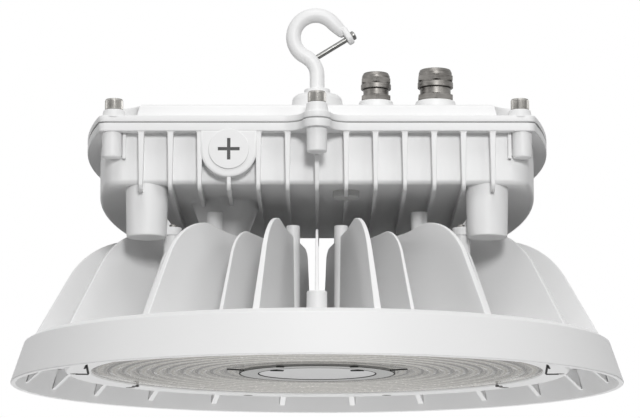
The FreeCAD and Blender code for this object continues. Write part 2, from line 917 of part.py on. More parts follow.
def make_frame_screws():
    body = new_body("frame_screws")
    place_x, place_y = frame_screw_place()
    head_height = size("frame_screw_head_radius") - size("frame_screw_radius")
    head = body.newObject("PartDesign::AdditiveCone", "Head")
    bind(head, "Radius1", size("frame_screw_head_radius"))
    bind(head, "Radius2", size("frame_screw_radius"))
    bind(head, "Height", head_height)
    set_place(head, place_x, place_y, frame_bottom)
    plan = new_sketch(body, "ShankPlan", offset=frame_bottom + head_height)
    circle(plan, place_x, place_y, size("frame_screw_radius"))
    shank = pad(body, "Shank", plan, size("frame_screw_length") - head_height)
    socket = new_sketch(body, "SocketPlan", offset=frame_bottom)
    hexagon(socket, place_x, place_y, size("frame_screw_socket_flats"))
    cut = pocket(body, "Socket", socket, size("frame_screw_socket_depth"), up=True)
    polar(body, "Screws", [head, shank, cut], size("frame_screw_count"))
    return body


def make_centre_ring():
    """Holds the inner edge of the lens and takes the round cover of the middle bay."""
    body = new_body("centre_ring")
    section = new_sketch(body, "RingSection", "XZ_Plane")
    outline(section, [
        (size("centre_ring_bore"), frame_bottom),
        (size("centre_ring_radius"), frame_bottom),
        (size("centre_ring_radius"), lens_bottom),
        (size("lens_inner_radius") - clearance, lens_bottom),
        (size("lens_inner_radius") - clearance, plate_bottom),
        (size("centre_ring_ledge"), plate_bottom),
        (size("centre_ring_ledge"), centre_ledge),
        (size("centre_ring_bore"), centre_ledge),
    ])
    turned(body, "Ring", section)
    return body


def make_centre_seal():
    body = new_body("centre_cover_seal")
    plan = new_sketch(body, "SealPlan", offset=centre_cover_top)
    circle(plan, 0, 0, size("centre_cover_radius"))
    circle(plan, 0, 0, size("centre_ring_ledge"))
    pad(body, "Seal", plan, size("centre_seal_thickness"))
    return body


def make_centre_cover():
    """A shallow dome with a hollow neck that reaches into the ring."""
    body = new_body("centre_cover")
    section = new_sketch(body, "CoverSection", "XZ_Plane")
    neck = size("centre_ring_ledge") - clearance
    rim = size("centre_cover_radius")
    dome = size("centre_cover_dome")
    outline(section, [
        (0, centre_cover_rim - dome),
        (rim, centre_cover_rim, rim * rim / (dome * 2)),
        (rim, centre_cover_top),
        (neck, centre_cover_top),
        (neck, size("centre_neck_top")),
        (size("centre_neck_radius"), size("centre_neck_top")),
        (size("centre_neck_radius"), centre_cover_top),
        (0, centre_cover_top),
    ])
    turned(body, "Cover", section)
    return body


def make_box_base():
    """The lower casting of the driver box with its ribs, posts, duct and screw bosses."""
    body = new_body("driver_box_base")
    wall_top = flange_bottom + root_depth
    plan = new_sketch(body, "BoxPlan", offset=box_bottom)
    box_outline(plan, 0)
    walls = pad(body, "Box", plan, wall_top - box_bottom)
    doc.recompute()
    edge = body.newObject("PartDesign::Fillet", "BottomRound")
    edge.Base = (walls, edges_at_height(walls, box_bottom.value))
    bind(edge, "Radius", size("box_edge_round"))

    flange = new_sketch(body, "FlangePlan", offset=flange_bottom)
    flange_outline(flange, 0)
    pad(body, "Flange", flange, size("flange_thickness"))

    rib = new_sketch(body, "RibPlan", offset=wall_top)
    first = -size("rib_pitch") * (size("rib_count") - 1) / 2
    half = size("rib_thickness") / 2
    rectangle(rib, first - half, -size("rib_half_depth"), first + half, size("rib_half_depth"))
    blade = pad(body, "Rib", rib, wall_top - size("rib_bottom"), draft=-size("rib_draft"), down=True)
    linear(body, "Ribs", [blade], size("rib_pitch") * (size("rib_count") - 1), size("rib_count"))

    posts = new_sketch(body, "PostPlan", offset=box_floor)
    for x, y in POSTS:
        circle(posts, x, y, size("post_radius"))
    columns = pad(body, "Posts", posts, box_floor - size("post_bottom"), draft=-size("post_draft"), down=True)
    doc.recompute()
    ends = body.newObject("PartDesign::Fillet", "PostEnds")
    ends.Base = (columns, edges_at_height(columns, size("post_bottom").value))
    bind(ends, "Radius", size("post_end_round"))

    tips = new_sketch(body, "EarTipPlan", offset=size("ear_bottom"))
    arms = new_sketch(body, "EarArmPlan", offset=size("ear_bottom"))
    webs = new_sketch(body, "EarWebPlan", offset=size("ear_bottom"))
    for side_x in SIDES:
        seat, post = side_x * size("seat_place"), side_x * size("post_x")
        low, high = (post, seat) if side_x < 0 else (seat, post)
        for side_y in SIDES:
            middle = side_y * size("seat_place")
            circle(tips, seat, middle, size("ear_radius"))
            rectangle(arms, low, middle - size("ear_radius"), high, middle + size("ear_radius"))
            half_web = size("ear_web_thickness") / 2
            rectangle(webs, low, middle - half_web, high, middle + half_web)
    pad(body, "EarTips", tips, size("ear_thickness"))
    pad(body, "EarArms", arms, size("ear_thickness"))
    pad(body, "EarWebs", webs, box_floor - root_depth - size("ear_bottom"))

    duct = body.newObject("PartDesign::AdditiveCone", "DuctCone")
    bind(duct, "Radius1", size("duct_radius"))
    bind(duct, "Radius2", size("duct_top_radius"))
    bind(duct, "Height", box_bottom + over - size("duct_neck_height"))
    set_place(duct, duct_x, duct_y, size("duct_neck_height"))
    neck = new_sketch(body, "DuctNeckPlan", offset=duct_foot)
    circle(neck, duct_x, duct_y, size("duct_radius"))
    pad(body, "DuctNeck", neck, size("duct_neck_height") - duct_foot)

    bosses = new_sketch(body, "ScrewBossPlan", offset=size("screw_boss_bottom"))
    for x, y in CORNER_SCREWS + CENTRE_SCREWS:
        circle(bosses, x, y, size("screw_boss_radius"))
    pad(body, "ScrewBosses", bosses, wall_top - size("screw_boss_bottom"))

    ties = new_sketch(body, "BossTiePlan", offset=size("screw_boss_bottom"))
    for side_y in SIDES:
        tie_inner = side_y * (size("box_half_depth") - root_depth)
        tie_outer = side_y * size("centre_screw_y")
        low, high = (tie_outer, tie_inner) if side_y < 0 else (tie_inner, tie_outer)
        rectangle(ties, -size("rib_thickness") / 2, low, size("rib_thickness") / 2, high)
        corner_y = side_y * size("corner_screw_y")
        corner_inner = side_y * (size("box_half_depth") - size("box_corner"))
        low, high = (corner_y, corner_inner) if side_y < 0 else (corner_inner, corner_y)
        for side_x in SIDES:
            middle = side_x * (size("corner_screw_x") - root_depth)
            rectangle(ties, middle - size("rib_thickness"), low, middle + size("rib_thickness"), high)
    pad(body, "BossTies", ties, wall_top - size("screw_boss_bottom"))

    front = size("flange_half_depth")
    pad_plan = new_sketch(body, "PlugPadOutline", "XZ_Plane", front)
    left = size("plug_x") - size("pad_radius")
    right = size("plug_x") + size("pad_radius")
    bottom = size("plug_z") - size("pad_radius")
    outline(pad_plan, [
        (size("plug_x"), bottom, size("pad_radius")),
        (right, size("plug_z"), size("pad_radius")),
        (right, wall_top),
        (left, wall_top),
        (left, size("plug_z")),
    ])
    pad(body, "PlugPad", pad_plan, front - size("box_half_depth") + root_depth, down=True)

    hollow = new_sketch(body, "HollowPlan", offset=box_floor)
    box_outline(hollow, box_wall)
    pocket(body, "Hollow", hollow, flange_top + over - box_floor, up=True)

    holes = new_sketch(body, "LidScrewHolePlan", offset=flange_top)
    for x, y in CORNER_SCREWS + CENTRE_SCREWS:
        circle(holes, x, y, size("lid_screw_radius") + clearance)
    pocket(body, "LidScrewHoles", holes, size("lid_screw_reach") + over)

    plug_hole = new_sketch(body, "PlugHolePlan", "XZ_Plane", front)
    circle(plug_hole, size("plug_x"), size("plug_z"), size("plug_thread_radius") + clearance)
    pocket(body, "PlugHole", plug_hole, front - size("box_half_depth") + box_wall + over)

    vent_hole = new_sketch(body, "VentHolePlan", offset=box_bottom)
    circle(vent_hole, size("vent_x"), size("vent_y"), size("vent_stem_radius") + clearance)
    pocket(body, "VentHole", vent_hole, box_wall + over, up=True)
    vent_seat = new_sketch(body, "VentSeatPlan", offset=box_bottom)
    circle(vent_seat, size("vent_x"), size("vent_y"), size("vent_radius") + size("vent_room"))
    pocket(body, "VentSeat", vent_seat, box_bottom - size("rib_bottom") + over)

    bore = new_sketch(body, "DuctBorePlan", offset=duct_foot)
    circle(bore, duct_x, duct_y, size("duct_bore"))
    pocket(body, "DuctBore", bore, box_floor + over - duct_foot, up=True)

    screws = new_sketch(body, "EarScrewHolePlan", offset=size("ear_bottom"))
    for x, y in SEATS:
        circle(screws, x, y, size("ear_screw_radius") + clearance)
    pocket(body, "EarScrewHoles", screws, size("ear_screw_reach") + over, up=True)
    return body


def make_duct_seal():
    body = new_body("duct_seal")
    plan = new_sketch(body, "SealPlan", offset=plate_top)
    circle(plan, duct_x, duct_y, size("duct_radius"))
    circle(plan, duct_x, duct_y, size("duct_bore"))
    pad(body, "Seal", plan, size("duct_seal_thickness"))
    return body


def make_post_screws():
    """Long screws from under the plate, through the seats of the heat sink, into the ears of the posts."""
    body = new_body("post_screws")
    heads = new_sketch(body, "HeadPlan", offset=plate_bottom)
    shank_bottom = plate_bottom + size("ear_screw_head_height") - over
    shanks = new_sketch(body, "ShankPlan", offset=shank_bottom)
    for x, y in SEATS:
        circle(heads, x, y, size("ear_screw_head_radius"))
        circle(shanks, x, y, size("ear_screw_radius"))
    pad(body, "Heads", heads, size("ear_screw_head_height"))
    pad(body, "Shanks", shanks, size("ear_bottom") + size("ear_screw_reach") - shank_bottom)
    return body


def make_box_seal():
    """The flat seal between base and lid, with a hole for each screw."""
    body = new_body("driver_box_seal")
    plan = new_sketch(body, "SealPlan", offset=flange_top)
    flange_outline(plan, size("seal_inset"))
    box_outline(plan, box_wall)
    for x, y in CORNER_SCREWS + CENTRE_SCREWS:
        circle(plan, x, y, size("lid_screw_radius") + clearance)
    pad(body, "Seal", plan, size("seal_thickness"))
    return body


def make_lid():
    body = new_body("driver_box_lid")
    flange = new_sketch(body, "LidFlangePlan", offset=lid_bottom)
    flange_outline(flange, 0)
    pad(body, "LidFlange", flange, size("lid_flange_thickness"))

    foot = lid_flange_top - root_depth
    raised = new_sketch(body, "RaisedPlan", offset=foot)
    lid_outline(raised, 0)
    pad(body, "Raised", raised, lid_top - foot, draft=-size("lid_draft"))

    for name, places, top in (
        ("CornerBoss", CORNER_SCREWS, size("corner_boss_top")),
        ("CentreBoss", CENTRE_SCREWS, size("centre_boss_top")),
    ):
        boss_plan = new_sketch(body, name + "Plan", offset=foot)
        for x, y in places:
            circle(boss_plan, x, y, size("screw_boss_radius"))
        pad(body, name + "es", boss_plan, top - foot)
    web = new_sketch(body, "BossWebPlan", offset=foot)
    half_web = size("boss_web_width") / 2
    for side_y in SIDES:
        inner = side_y * size("lid_half_depth")
        outer = side_y * size("centre_screw_y")
        low, high = (outer, inner) if side_y < 0 else (inner, outer)
        rectangle(web, -half_web, low, half_web, high)
    pad(body, "BossWebs", web, size("boss_web_top") - foot)

    boss = new_sketch(body, "HookBossSection", "XZ_Plane")
    shoulder_round = size("hook_boss_top") - size("hook_boss_shoulder")
    outline(boss, [
        (0, lid_inside),
        (size("hook_boss_foot_radius"), lid_inside),
        (size("hook_boss_radius"), size("hook_boss_shoulder")),
        (size("hook_boss_radius") - shoulder_round, size("hook_boss_top"), shoulder_round),
        (size("hook_collar_radius"), size("hook_boss_top")),
        (size("hook_collar_radius"), size("hook_collar_top")),
        (0, size("hook_collar_top")),
    ])
    turned(body, "HookBoss", boss)

    for name, x, _, flats, _ in GLANDS:
        seat = body.newObject("PartDesign::AdditiveCone", name.title() + "Pedestal")
        bind(seat, "Radius1", flats / 2 + size("pedestal_foot_edge"))
        bind(seat, "Radius2", flats / 2 + size("pedestal_edge"))
        bind(seat, "Height", size("pedestal_top") - lid_inside)
        set_place(seat, x, size("gland_y"), lid_inside)

    hollow = new_sketch(body, "LidHollowPlan", offset=lid_bottom)
    lid_outline(hollow, size("lid_wall"))
    pocket(body, "LidHollow", hollow, lid_inside - lid_bottom, up=True)

    holes = new_sketch(body, "ScrewHolePlan", offset=lid_bottom)
    for x, y in CORNER_SCREWS + CENTRE_SCREWS:
        circle(holes, x, y, size("lid_screw_radius") + clearance)
    pocket(body, "ScrewHoles", holes, size("centre_boss_top") - lid_bottom + over, up=True)

    bores = new_sketch(body, "BorePlan", offset=lid_inside)
    circle(bores, 0, 0, size("hook_stock_radius") + clearance)
    for _, x, thread, _, _ in GLANDS:
        circle(bores, x, size("gland_y"), thread + clearance)
    pocket(body, "Bores", bores, size("hook_collar_top") - lid_inside + over, up=True)
    return body


def make_lid_screws():
    """Socket head screws: four at the corners, two at the middle of the long sides."""
    body = new_body("lid_screws")
    for name, places, seat in (
        ("Corner", CORNER_SCREWS, size("corner_boss_top")),
        ("Centre", CENTRE_SCREWS, size("centre_boss_top")),
    ):
        head_plan = new_sketch(body, name + "HeadPlan", offset=seat)
        socket_plan = new_sketch(body, name + "SocketPlan", offset=seat + size("lid_screw_head_height"))
        shank_bottom = flange_top - size("lid_screw_reach")
        shank_plan = new_sketch(body, name + "ShankPlan", offset=shank_bottom)
        for x, y in places:
            circle(head_plan, x, y, size("lid_screw_head_radius"))
            circle(shank_plan, x, y, size("lid_screw_radius"))
            hexagon(socket_plan, x, y, size("lid_screw_socket_flats"))
        pad(body, name + "Heads", head_plan, size("lid_screw_head_height"))
        pad(body, name + "Shanks", shank_plan, seat - shank_bottom + over)
        pocket(body, name + "Sockets", socket_plan, size("lid_screw_head_height") / 2)
    return body


def hook_line():
    """Corners and ends of the hook's centre line in the XZ plane."""
    bend = size("hook_bend_radius")
    start = size("hook_bend_start")
    loop_x = size("hook_loop_x")
    loop_z = size("hook_loop_z")
    meet = ((loop_x - bend) / 2, (start + loop_z) / 2)
    back = size("hook_loop_back")
    side = (loop_x - bend * cosine(back), loop_z + bend * sine(back))
    angle = size("hook_loop_end")
    end = (loop_x + bend * cosine(angle), loop_z + bend * sine(angle))
    reach = size("hook_tip_length")
    tip = (end[0] + reach * sine(angle), end[1] - reach * cosine(angle))
    return [
        (length(0), size("hook_bottom")),
        (length(0), start),
        (meet[0], meet[1], bend),
        (side[0], side[1], -bend),
        (end[0], end[1], -bend),
        (tip[0], tip[1]),
    ]


def screw_point(distance):
    """A point on the axis of the closing screw, counted from where it meets the hook's neck."""
    angle = size("hook_screw_angle")
    return (
        size("hook_screw_x") + distance * cosine(angle),
        size("hook_screw_z") + distance * sine(angle),
    )


def across_screw(body, name, distance):
    """A sketch square to the closing screw's axis, at a distance along it."""
    sketch = new_sketch(body, name, "YZ_Plane")
    x, z = screw_point(distance)
    sketch.AttachmentOffset = FreeCAD.Placement(
        V(0, z.value, x.value), FreeCAD.Rotation(V(-1, 0, 0), size("hook_screw_angle").value)
    )
    sketch.setExpression("AttachmentOffset.Base.z", x.text)
    sketch.setExpression("AttachmentOffset.Base.y", z.text)
    sketch.setExpression("AttachmentOffset.Rotation.Angle", "Sizes.hook_screw_angle * 1deg")
    return sketch


def make_hook():
    """Round stock bent to an open hook, its tip forged flat and drilled for the closing screw."""
    body = new_body("hook")
    line = new_sketch(body, "CentreLine", "XZ_Plane")
    outline(line, hook_line(), closed=False)
    stock = new_sketch(body, "StockSection", offset=size("hook_bottom"))
    circle(stock, 0, 0, size("hook_stock_radius"))
    pipe = body.newObject("PartDesign::AdditivePipe", "Stock")
    pipe.Profile = stock
    pipe.Spine = line
    pipe.Mode = "Frenet"

    lug_reach = size("hook_lug_reach")
    half = size("hook_lug_thickness") / 2
    lug = across_screw(body, "LugPlan", lug_reach - half)
    radius = size("hook_lug_radius")
    outline(lug, [
        (-radius, 0),
        (0, -radius, radius),
        (radius, 0, radius),
        (radius, size("hook_lug_height")),
        (-radius, size("hook_lug_height")),
    ])
    pad(body, "Lug", lug, size("hook_lug_thickness"))
    bite = size("hook_screw_bite")
    hole = across_screw(body, "ScrewHolePlan", -bite)
    circle(hole, 0, 0, size("hook_screw_radius") + clearance)
    pocket(body, "ScrewHole", hole, bite + lug_reach + half + root_depth, up=True)
    return body


def make_hook_screw():
    body = new_body("hook_screw")
    bite = size("hook_screw_bite")
    seat = size("hook_lug_reach") + size("hook_lug_thickness") / 2
    shank = across_screw(body, "ShankPlan", -bite)
    circle(shank, 0, 0, size("hook_screw_radius"))
    pad(body, "Shank", shank, bite + seat + over)
    head = across_screw(body, "HeadPlan", seat)
    circle(head, 0, 0, size("hook_screw_head_radius"))
    pad(body, "Head", head, size("hook_screw_head_height"))
    return body


def make_hook_washer():
    body = new_body("hook_washer")
    plan = new_sketch(body, "WasherPlan", offset=lid_inside - size("hook_washer_thickness"))
    circle(plan, 0, 0, size("hook_washer_radius"))
    circle(plan, 0, 0, size("hook_stock_radius") + clearance)
    pad(body, "Washer", plan, size("hook_washer_thickness"))
    return body


def make_hook_nut():
    body = new_body("hook_nut")
    top = lid_inside - size("hook_washer_thickness")
    plan = new_sketch(body, "NutPlan", offset=top - size("hook_nut_height"))
    hexagon(plan, 0, 0, size("hook_nut_flats"))
    circle(plan, 0, 0, size("hook_stock_radius") + clearance)
    pad(body, "Nut", plan, size("hook_nut_height"))
    return body


def make_gland(name, x, thread, flats, height):
    """A cable gland: body with its thread in the pedestal, rubber seal and domed nut."""
    seat = size("pedestal_top")
    y = size("gland_y")
    bore = thread * size("gland_bore_share")
    hex_height = height * size("gland_hex_share")
    nut_bottom = seat + height * size("gland_skirt_share")
    nut_band_bottom = seat + height * size("gland_band_share")
    nut_band_top = seat + height * size("gland_dome_share")
    top = seat + height
    seal_radius = thread * size("gland_seal_share")

    body = new_body(name + "_gland_body")
    thread_plan = new_sketch(body, "ThreadPlan", offset=seat - size("gland_thread_length"))
    circle(thread_plan, x, y, thread)
    pad(body, "Thread", thread_plan, size("gland_thread_length"))
    hex_plan = new_sketch(body, "HexPlan", offset=seat)
    hexagon(hex_plan, x, y, flats)
    pad(body, "Hex", hex_plan, hex_height)
    collar_plan = new_sketch(body, "CollarPlan", offset=seat + hex_height)
    circle(collar_plan, x, y, flats / 2 - size("gland_collar_inset"))
    pad(body, "Collar", collar_plan, nut_bottom - clearance - seat - hex_height)
    bore_plan = new_sketch(body, "BorePlan", offset=seat - size("gland_thread_length"))
    circle(bore_plan, x, y, bore)
    pocket(body, "Bore", bore_plan, size("gland_thread_length") + height, up=True)

    seal = new_body(name + "_gland_seal")
    seal_plan = new_sketch(seal, "SealPlan", offset=nut_bottom)
    circle(seal_plan, x, y, seal_radius)
    circle(seal_plan, x, y, size(name + "_cable_radius"))
    pad(seal, "Seal", seal_plan, nut_band_top - nut_bottom)

    nut = new_body(name + "_gland_nut")
    skirt_plan = new_sketch(nut, "SkirtPlan", offset=nut_bottom)
    circle(skirt_plan, x, y, flats / 2 + size("gland_skirt_edge"))
    pad(nut, "Skirt", skirt_plan, nut_band_bottom - nut_bottom)
    band_plan = new_sketch(nut, "BandPlan", offset=nut_band_bottom)
    hexagon(band_plan, x, y, flats)
    pad(nut, "Band", band_plan, nut_band_top - nut_band_bottom)
    dome = nut.newObject("PartDesign::AdditiveCone", "Dome")
    bind(dome, "Radius1", flats / 2)
    bind(dome, "Radius2", thread * size("gland_mouth_share"))
    bind(dome, "Height", top - nut_band_top)
    set_place(dome, x, y, nut_band_top)
    inside_plan = new_sketch(nut, "InsidePlan", offset=nut_bottom)
    circle(inside_plan, x, y, seal_radius + clearance)
    pocket(nut, "Inside", inside_plan, nut_band_top - nut_bottom, up=True)
    mouth_plan = new_sketch(nut, "MouthPlan", offset=nut_band_top)
    circle(mouth_plan, x, y, bore)
    pocket(nut, "Mouth", mouth_plan, top - nut_band_top + over, up=True)
    return [body, seal, nut]


def make_blanking_plug():
    body = new_body("blanking_plug")
    face = size("flange_half_depth") + size("plug_seal_thickness")
    shank = new_sketch(body, "ThreadPlan", "XZ_Plane", face)
    circle(shank, size("plug_x"), size("plug_z"), size("plug_thread_radius"))
    pad(body, "Thread", shank, size("plug_length"), down=True)
    head = new_sketch(body, "HeadPlan", "XZ_Plane", face)
    circle(head, size("plug_x"), size("plug_z"), size("plug_head_radius"))
    pad(body, "Head", head, size("plug_head_depth"))
    slots = new_sketch(body, "SlotPlan", "XZ_Plane", face + size("plug_head_depth"))
    long = size("plug_slot_long") / 2
    wide = size("plug_slot_wide") / 2
    x = size("plug_x")
    z = size("plug_z")
    outline(slots, [
        (x + wide, z - long), (x + wide, z - wide), (x + long, z - wide), (x + long, z + wide),
        (x + wide, z + wide), (x + wide, z + long), (x - wide, z + long), (x - wide, z + wide),
        (x - long, z + wide), (x - long, z - wide), (x - wide, z - wide), (x - wide, z - long),
    ])
    pocket(body, "Slot", slots, size("plug_slot_depth"))
    return body


def make_plug_seal():
    body = new_body("plug_seal")
    plan = new_sketch(body, "SealPlan", "XZ_Plane", size("flange_half_depth"))
    circle(plan, size("plug_x"), size("plug_z"), size("plug_seal_radius"))
    circle(plan, size("plug_x"), size("plug_z"), size("plug_thread_radius") + clearance)
    pad(body, "Seal", plan, size("plug_seal_thickness"))
    return body


def make_vent_plug():
    body = new_body("vent_plug")
    disc = new_sketch(body, "DiscPlan", offset=box_bottom)
    circle(disc, size("vent_x"), size("vent_y"), size("vent_radius"))
    pad(body, "Disc", disc, size("vent_height"), down=True)
    stem = new_sketch(body, "StemPlan", offset=box_bottom)
    circle(stem, size("vent_x"), size("vent_y"), size("vent_stem_radius"))
    pad(body, "Stem", stem, size("vent_stem_length"))
    hole = new_sketch(body, "AirHolePlan", offset=box_bottom - size("vent_height"))
    circle(hole, size("vent_x"), size("vent_y"), size("vent_air_hole_radius"))
    pocket(body, "AirHole", hole, size("vent_height") + size("vent_stem_length") + over, up=True)
    return body


def make_driver():
    """The power supply that turns mains into direct current for the light board."""
    body = new_body("led_driver")
    plan = new_sketch(body, "CasePlan", offset=box_floor)
    half_length = size("driver_length") / 2
    half_width = size("driver_width") / 2
    x = size("driver_x")
    y = size("driver_y")
    ear = size("driver_ear")
    rectangle(plan, x - half_length, y - half_width, x + half_length, y + half_width)
    pad(body, "Case", plan, size("driver_height"))
    feet = new_sketch(body, "FeetPlan", offset=box_floor)
    for side in SIDES:
        middle = x + side * (half_length + ear / 2 - over)
        rectangle(feet, middle - ear / 2, y - ear / 2, middle + ear / 2, y + ear / 2)
        circle(feet, driver_screw_x(side), y, size("driver_screw_radius") + clearance)
    pad(body, "Feet", feet, size("driver_foot_thickness"))
    return body


def driver_screw_x(side):
    return size("driver_x") + side * size("driver_screw_spacing") / 2


def make_driver_screws():
    body = new_body("driver_screws")
    foot_top = box_floor + size("driver_foot_thickness")
    heads = new_sketch(body, "HeadPlan", offset=foot_top)
    shanks = new_sketch(body, "ShankPlan", offset=box_floor)
    for side in SIDES:
        circle(heads, driver_screw_x(side), size("driver_y"), size("driver_screw_head_radius"))
        circle(shanks, driver_screw_x(side), size("driver_y"), size("driver_screw_radius"))
    pad(body, "Heads", heads, size("driver_screw_head_height"))
    pad(body, "Shanks", shanks, foot_top + over - box_floor)
    return body


def make_terminal_block():
    body = new_body("terminal_block")
    x = size("terminal_x")
    y = size("terminal_y")
    half_length = size("terminal_length") / 2
    half_width = size("terminal_width") / 2
    plan = new_sketch(body, "BlockPlan", offset=box_floor)
    rectangle(plan, x - half_length, y - half_width, x + half_length, y + half_width)
    pad(body, "Block", plan, size("terminal_height"))
    wells = new_sketch(body, "WellPlan", offset=box_floor + size("terminal_height"))
    ways = size("terminal_ways")
    for number in range(int(ways.value)):
        well_x = x - half_length + size("terminal_length") * (number + 0.5) / ways
        circle(wells, well_x, y, size("terminal_well_radius"))
    pocket(body, "Wells", wells, size("terminal_well_depth"))
    return body


def make_board_leads():
    """Two wires from the power supply down the duct to the light board."""
    body = new_body("board_leads")
    bend = size("wire_bend_radius")
    turn_height = box_floor + size("driver_height") / 2
    start = board_bottom
    for number, side in enumerate(SIDES):
        x = duct_x + side * size("wire_spacing") / 2
        line = new_sketch(body, f"WireLine{number}", "YZ_Plane", x)
        outline(line, [
            (duct_y, start),
            (duct_y, turn_height - bend),
            (duct_y + bend, turn_height, -bend),
            (size("driver_y") - size("driver_width") / 2 - clearance, turn_height),
        ], closed=False)
        section = new_sketch(body, f"WireSection{number}", offset=start)
        circle(section, x, duct_y, size("wire_radius"))
        wire = body.newObject("PartDesign::AdditivePipe", f"Wire{number}")
        wire.Profile = section
        wire.Spine = line
    return body


def check_and_write(items):
    """Stops on any failed feature or shape, then writes one file for each piece."""
    doc.recompute()
    for item in doc.Objects:
        if "Invalid" in item.State or "Error" in item.State:
            raise RuntimeError(f"{item.Name} failed: {item.State}")
    for item in doc.Objects:
        if item.TypeId in ("PartDesign::Pocket", "PartDesign::Groove"):
            if item.Shape.Volume >= item.BaseFeature.Shape.Volume - 1e-6:
                raise RuntimeError(f"{item.Name} cuts nothing")
    os.makedirs("parts", exist_ok=True)
    for item in items:
        shape = item.Shape
        if shape.isNull() or not shape.isValid() or not shape.Solids:
            raise RuntimeError(f"{item.Label} has no valid solid")
        shape.exportStep(f"parts/{item.Label}.step")
        print(item.Label, len(shape.Solids), "solid,", round(shape.Volume / 1000, 1), "cm3")


pieces = [
    make_box_base(),
    make_heat_sink(),
    make_led_board(),
    make_leds(),
    make_lens_gasket(),
    make_lens(),
    make_lens_frame(),
    make_frame_screws(),
    make_centre_ring(),
    make_centre_seal(),
    make_centre_cover(),
    make_duct_seal(),
    make_post_screws(),
    make_box_seal(),
    make_lid(),
    make_lid_screws(),
    make_hook(),
    make_hook_screw(),
    make_hook_washer(),
    make_hook_nut(),
    make_blanking_plug(),
    make_plug_seal(),
    make_vent_plug(),
    make_driver(),
    make_driver_screws(),
    make_terminal_block(),
    make_board_leads(),
]
for gland in GLANDS:
    pieces.extend(make_gland(*gland))

check_and_write(pieces)
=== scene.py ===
"""A round high bay light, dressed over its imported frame.

Shapes are drawn in millimetres, from the same origin as the frame: the centre of the rim's
lower edge, +Z up, -Y the front. The functions that make meshes turn them into metres.
"""
import math

import bmesh
import bpy
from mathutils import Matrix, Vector


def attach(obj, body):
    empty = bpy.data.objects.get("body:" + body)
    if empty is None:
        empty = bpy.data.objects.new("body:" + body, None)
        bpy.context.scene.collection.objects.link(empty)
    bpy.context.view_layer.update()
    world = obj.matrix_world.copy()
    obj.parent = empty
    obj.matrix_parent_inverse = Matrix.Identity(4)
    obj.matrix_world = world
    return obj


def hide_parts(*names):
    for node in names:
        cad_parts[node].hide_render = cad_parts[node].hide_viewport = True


MM = 0.001

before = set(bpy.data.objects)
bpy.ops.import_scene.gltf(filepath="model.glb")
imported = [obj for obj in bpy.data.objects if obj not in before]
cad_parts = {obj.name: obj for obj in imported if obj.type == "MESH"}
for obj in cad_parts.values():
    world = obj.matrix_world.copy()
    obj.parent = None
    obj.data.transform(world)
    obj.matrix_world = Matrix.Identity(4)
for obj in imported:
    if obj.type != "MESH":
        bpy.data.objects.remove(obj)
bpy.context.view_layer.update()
scene = bpy.context.scene
scene.view_settings.view_transform = "Standard"

# heights that several pieces share
PLATE_BOTTOM = 16.0
PLATE_TOP = 22.0
PLATE_EDGE_BOTTOM = 13.0
LENS_BOTTOM = 11.0
FRAME_BOTTOM = 9.5
BOX_BOTTOM = 131.0
BOX_FLOOR = 135.0
FLANGE_BOTTOM = 167.7
FLANGE_TOP = 173.7
LID_BOTTOM = 174.5
LID_FLANGE_TOP = 179.2
LID_TOP = 190.0
LID_INSIDE = 186.0

# places that several pieces share
POSTS = [(x, y) for x in (-121.2, 121.2) for y in (-115.0, 115.0)]
SEATS = [(x, y) for x in (-103.2, 103.2) for y in (-103.2, 103.2)]
EAR_BOTTOM = 98.0
DUCT = (-67.0, -45.0)
DUCT_RADIUS = 13.0
DUCT_BORE = 7.0
CORNER_SCREWS = [(x, y) for x in (-144.2, 144.2) for y in (-132.0, 132.0)]
CENTRE_SCREWS = [(0.0, -150.0), (0.0, 150.0)]
CORNER_BOSS_TOP = 184.0
CENTRE_BOSS_TOP = 186.0
PLUG = (-62.3, 154.8)
PAD_FACE = -140.0
VENT = (20.87, -100.0)
VENT_RADIUS = 9.6
PEDESTAL_TOP = 204.5

# cable glands: x, thread radius, width over the flats and height
GLAND_Y = -60.0
GLANDS = {"small": (43.4, 8.0, 21.0, 21.4), "large": (87.2, 10.0, 25.0, 23.8)}

# rings of light sources on the board, and the ridges of the lens below them
LIGHT_RINGS = 8
FIRST_LIGHT_RING = 72.0
LIGHT_RING_STEP = 12.4
LIGHT_PITCH = 8.2
LENS_RINGS = 7
FIRST_LENS_RING = 85.6
LENS_RING_STEP = 10.9

FIN_COUNT = 16
FIN_STEP = 360 / FIN_COUNT


# outlines in the plane, in millimetres


def arc(centre, radius, start, end, steps):
    """Points on an arc, its angles in degrees."""
    points = []
    for step in range(steps + 1):
        angle = math.radians(start + (end - start) * step / steps)
        points.append((centre[0] + radius * math.cos(angle), centre[1] + radius * math.sin(angle)))
    return points


def quarter(steps):
    """The angles of a quarter turn in even steps, from none to a right angle."""
    return [math.pi / 2 * step / steps for step in range(steps + 1)]


def rounded(corners, steps=5):
    """A closed outline with rounded corners. A corner is (x, y) or (x, y, radius)."""
    outline = []
    for number, corner in enumerate(corners):
        here = Vector(corner[:2])
        radius = corner[2] if len(corner) > 2 else 0
        if not radius:
            outline.append(tuple(here))
            continue
        back = (Vector(corners[number - 1][:2]) - here).normalized()
        ahead = (Vector(corners[(number + 1) % len(corners)][:2]) - here).normalized()
        half = back.angle(ahead) / 2
        centre = here + (back + ahead).normalized() * (radius / math.sin(half))
        first = here + back * (radius / math.tan(half)) - centre
        turn = math.pi - half * 2
        if back.x * ahead.y - back.y * ahead.x > 0:
            turn = -turn
        for step in range(steps + 1):
            angle = turn * step / steps
            x = first.x * math.cos(angle) - first.y * math.sin(angle)
            y = first.x * math.sin(angle) + first.y * math.cos(angle)
            outline.append((centre.x + x, centre.y + y))
    return outline


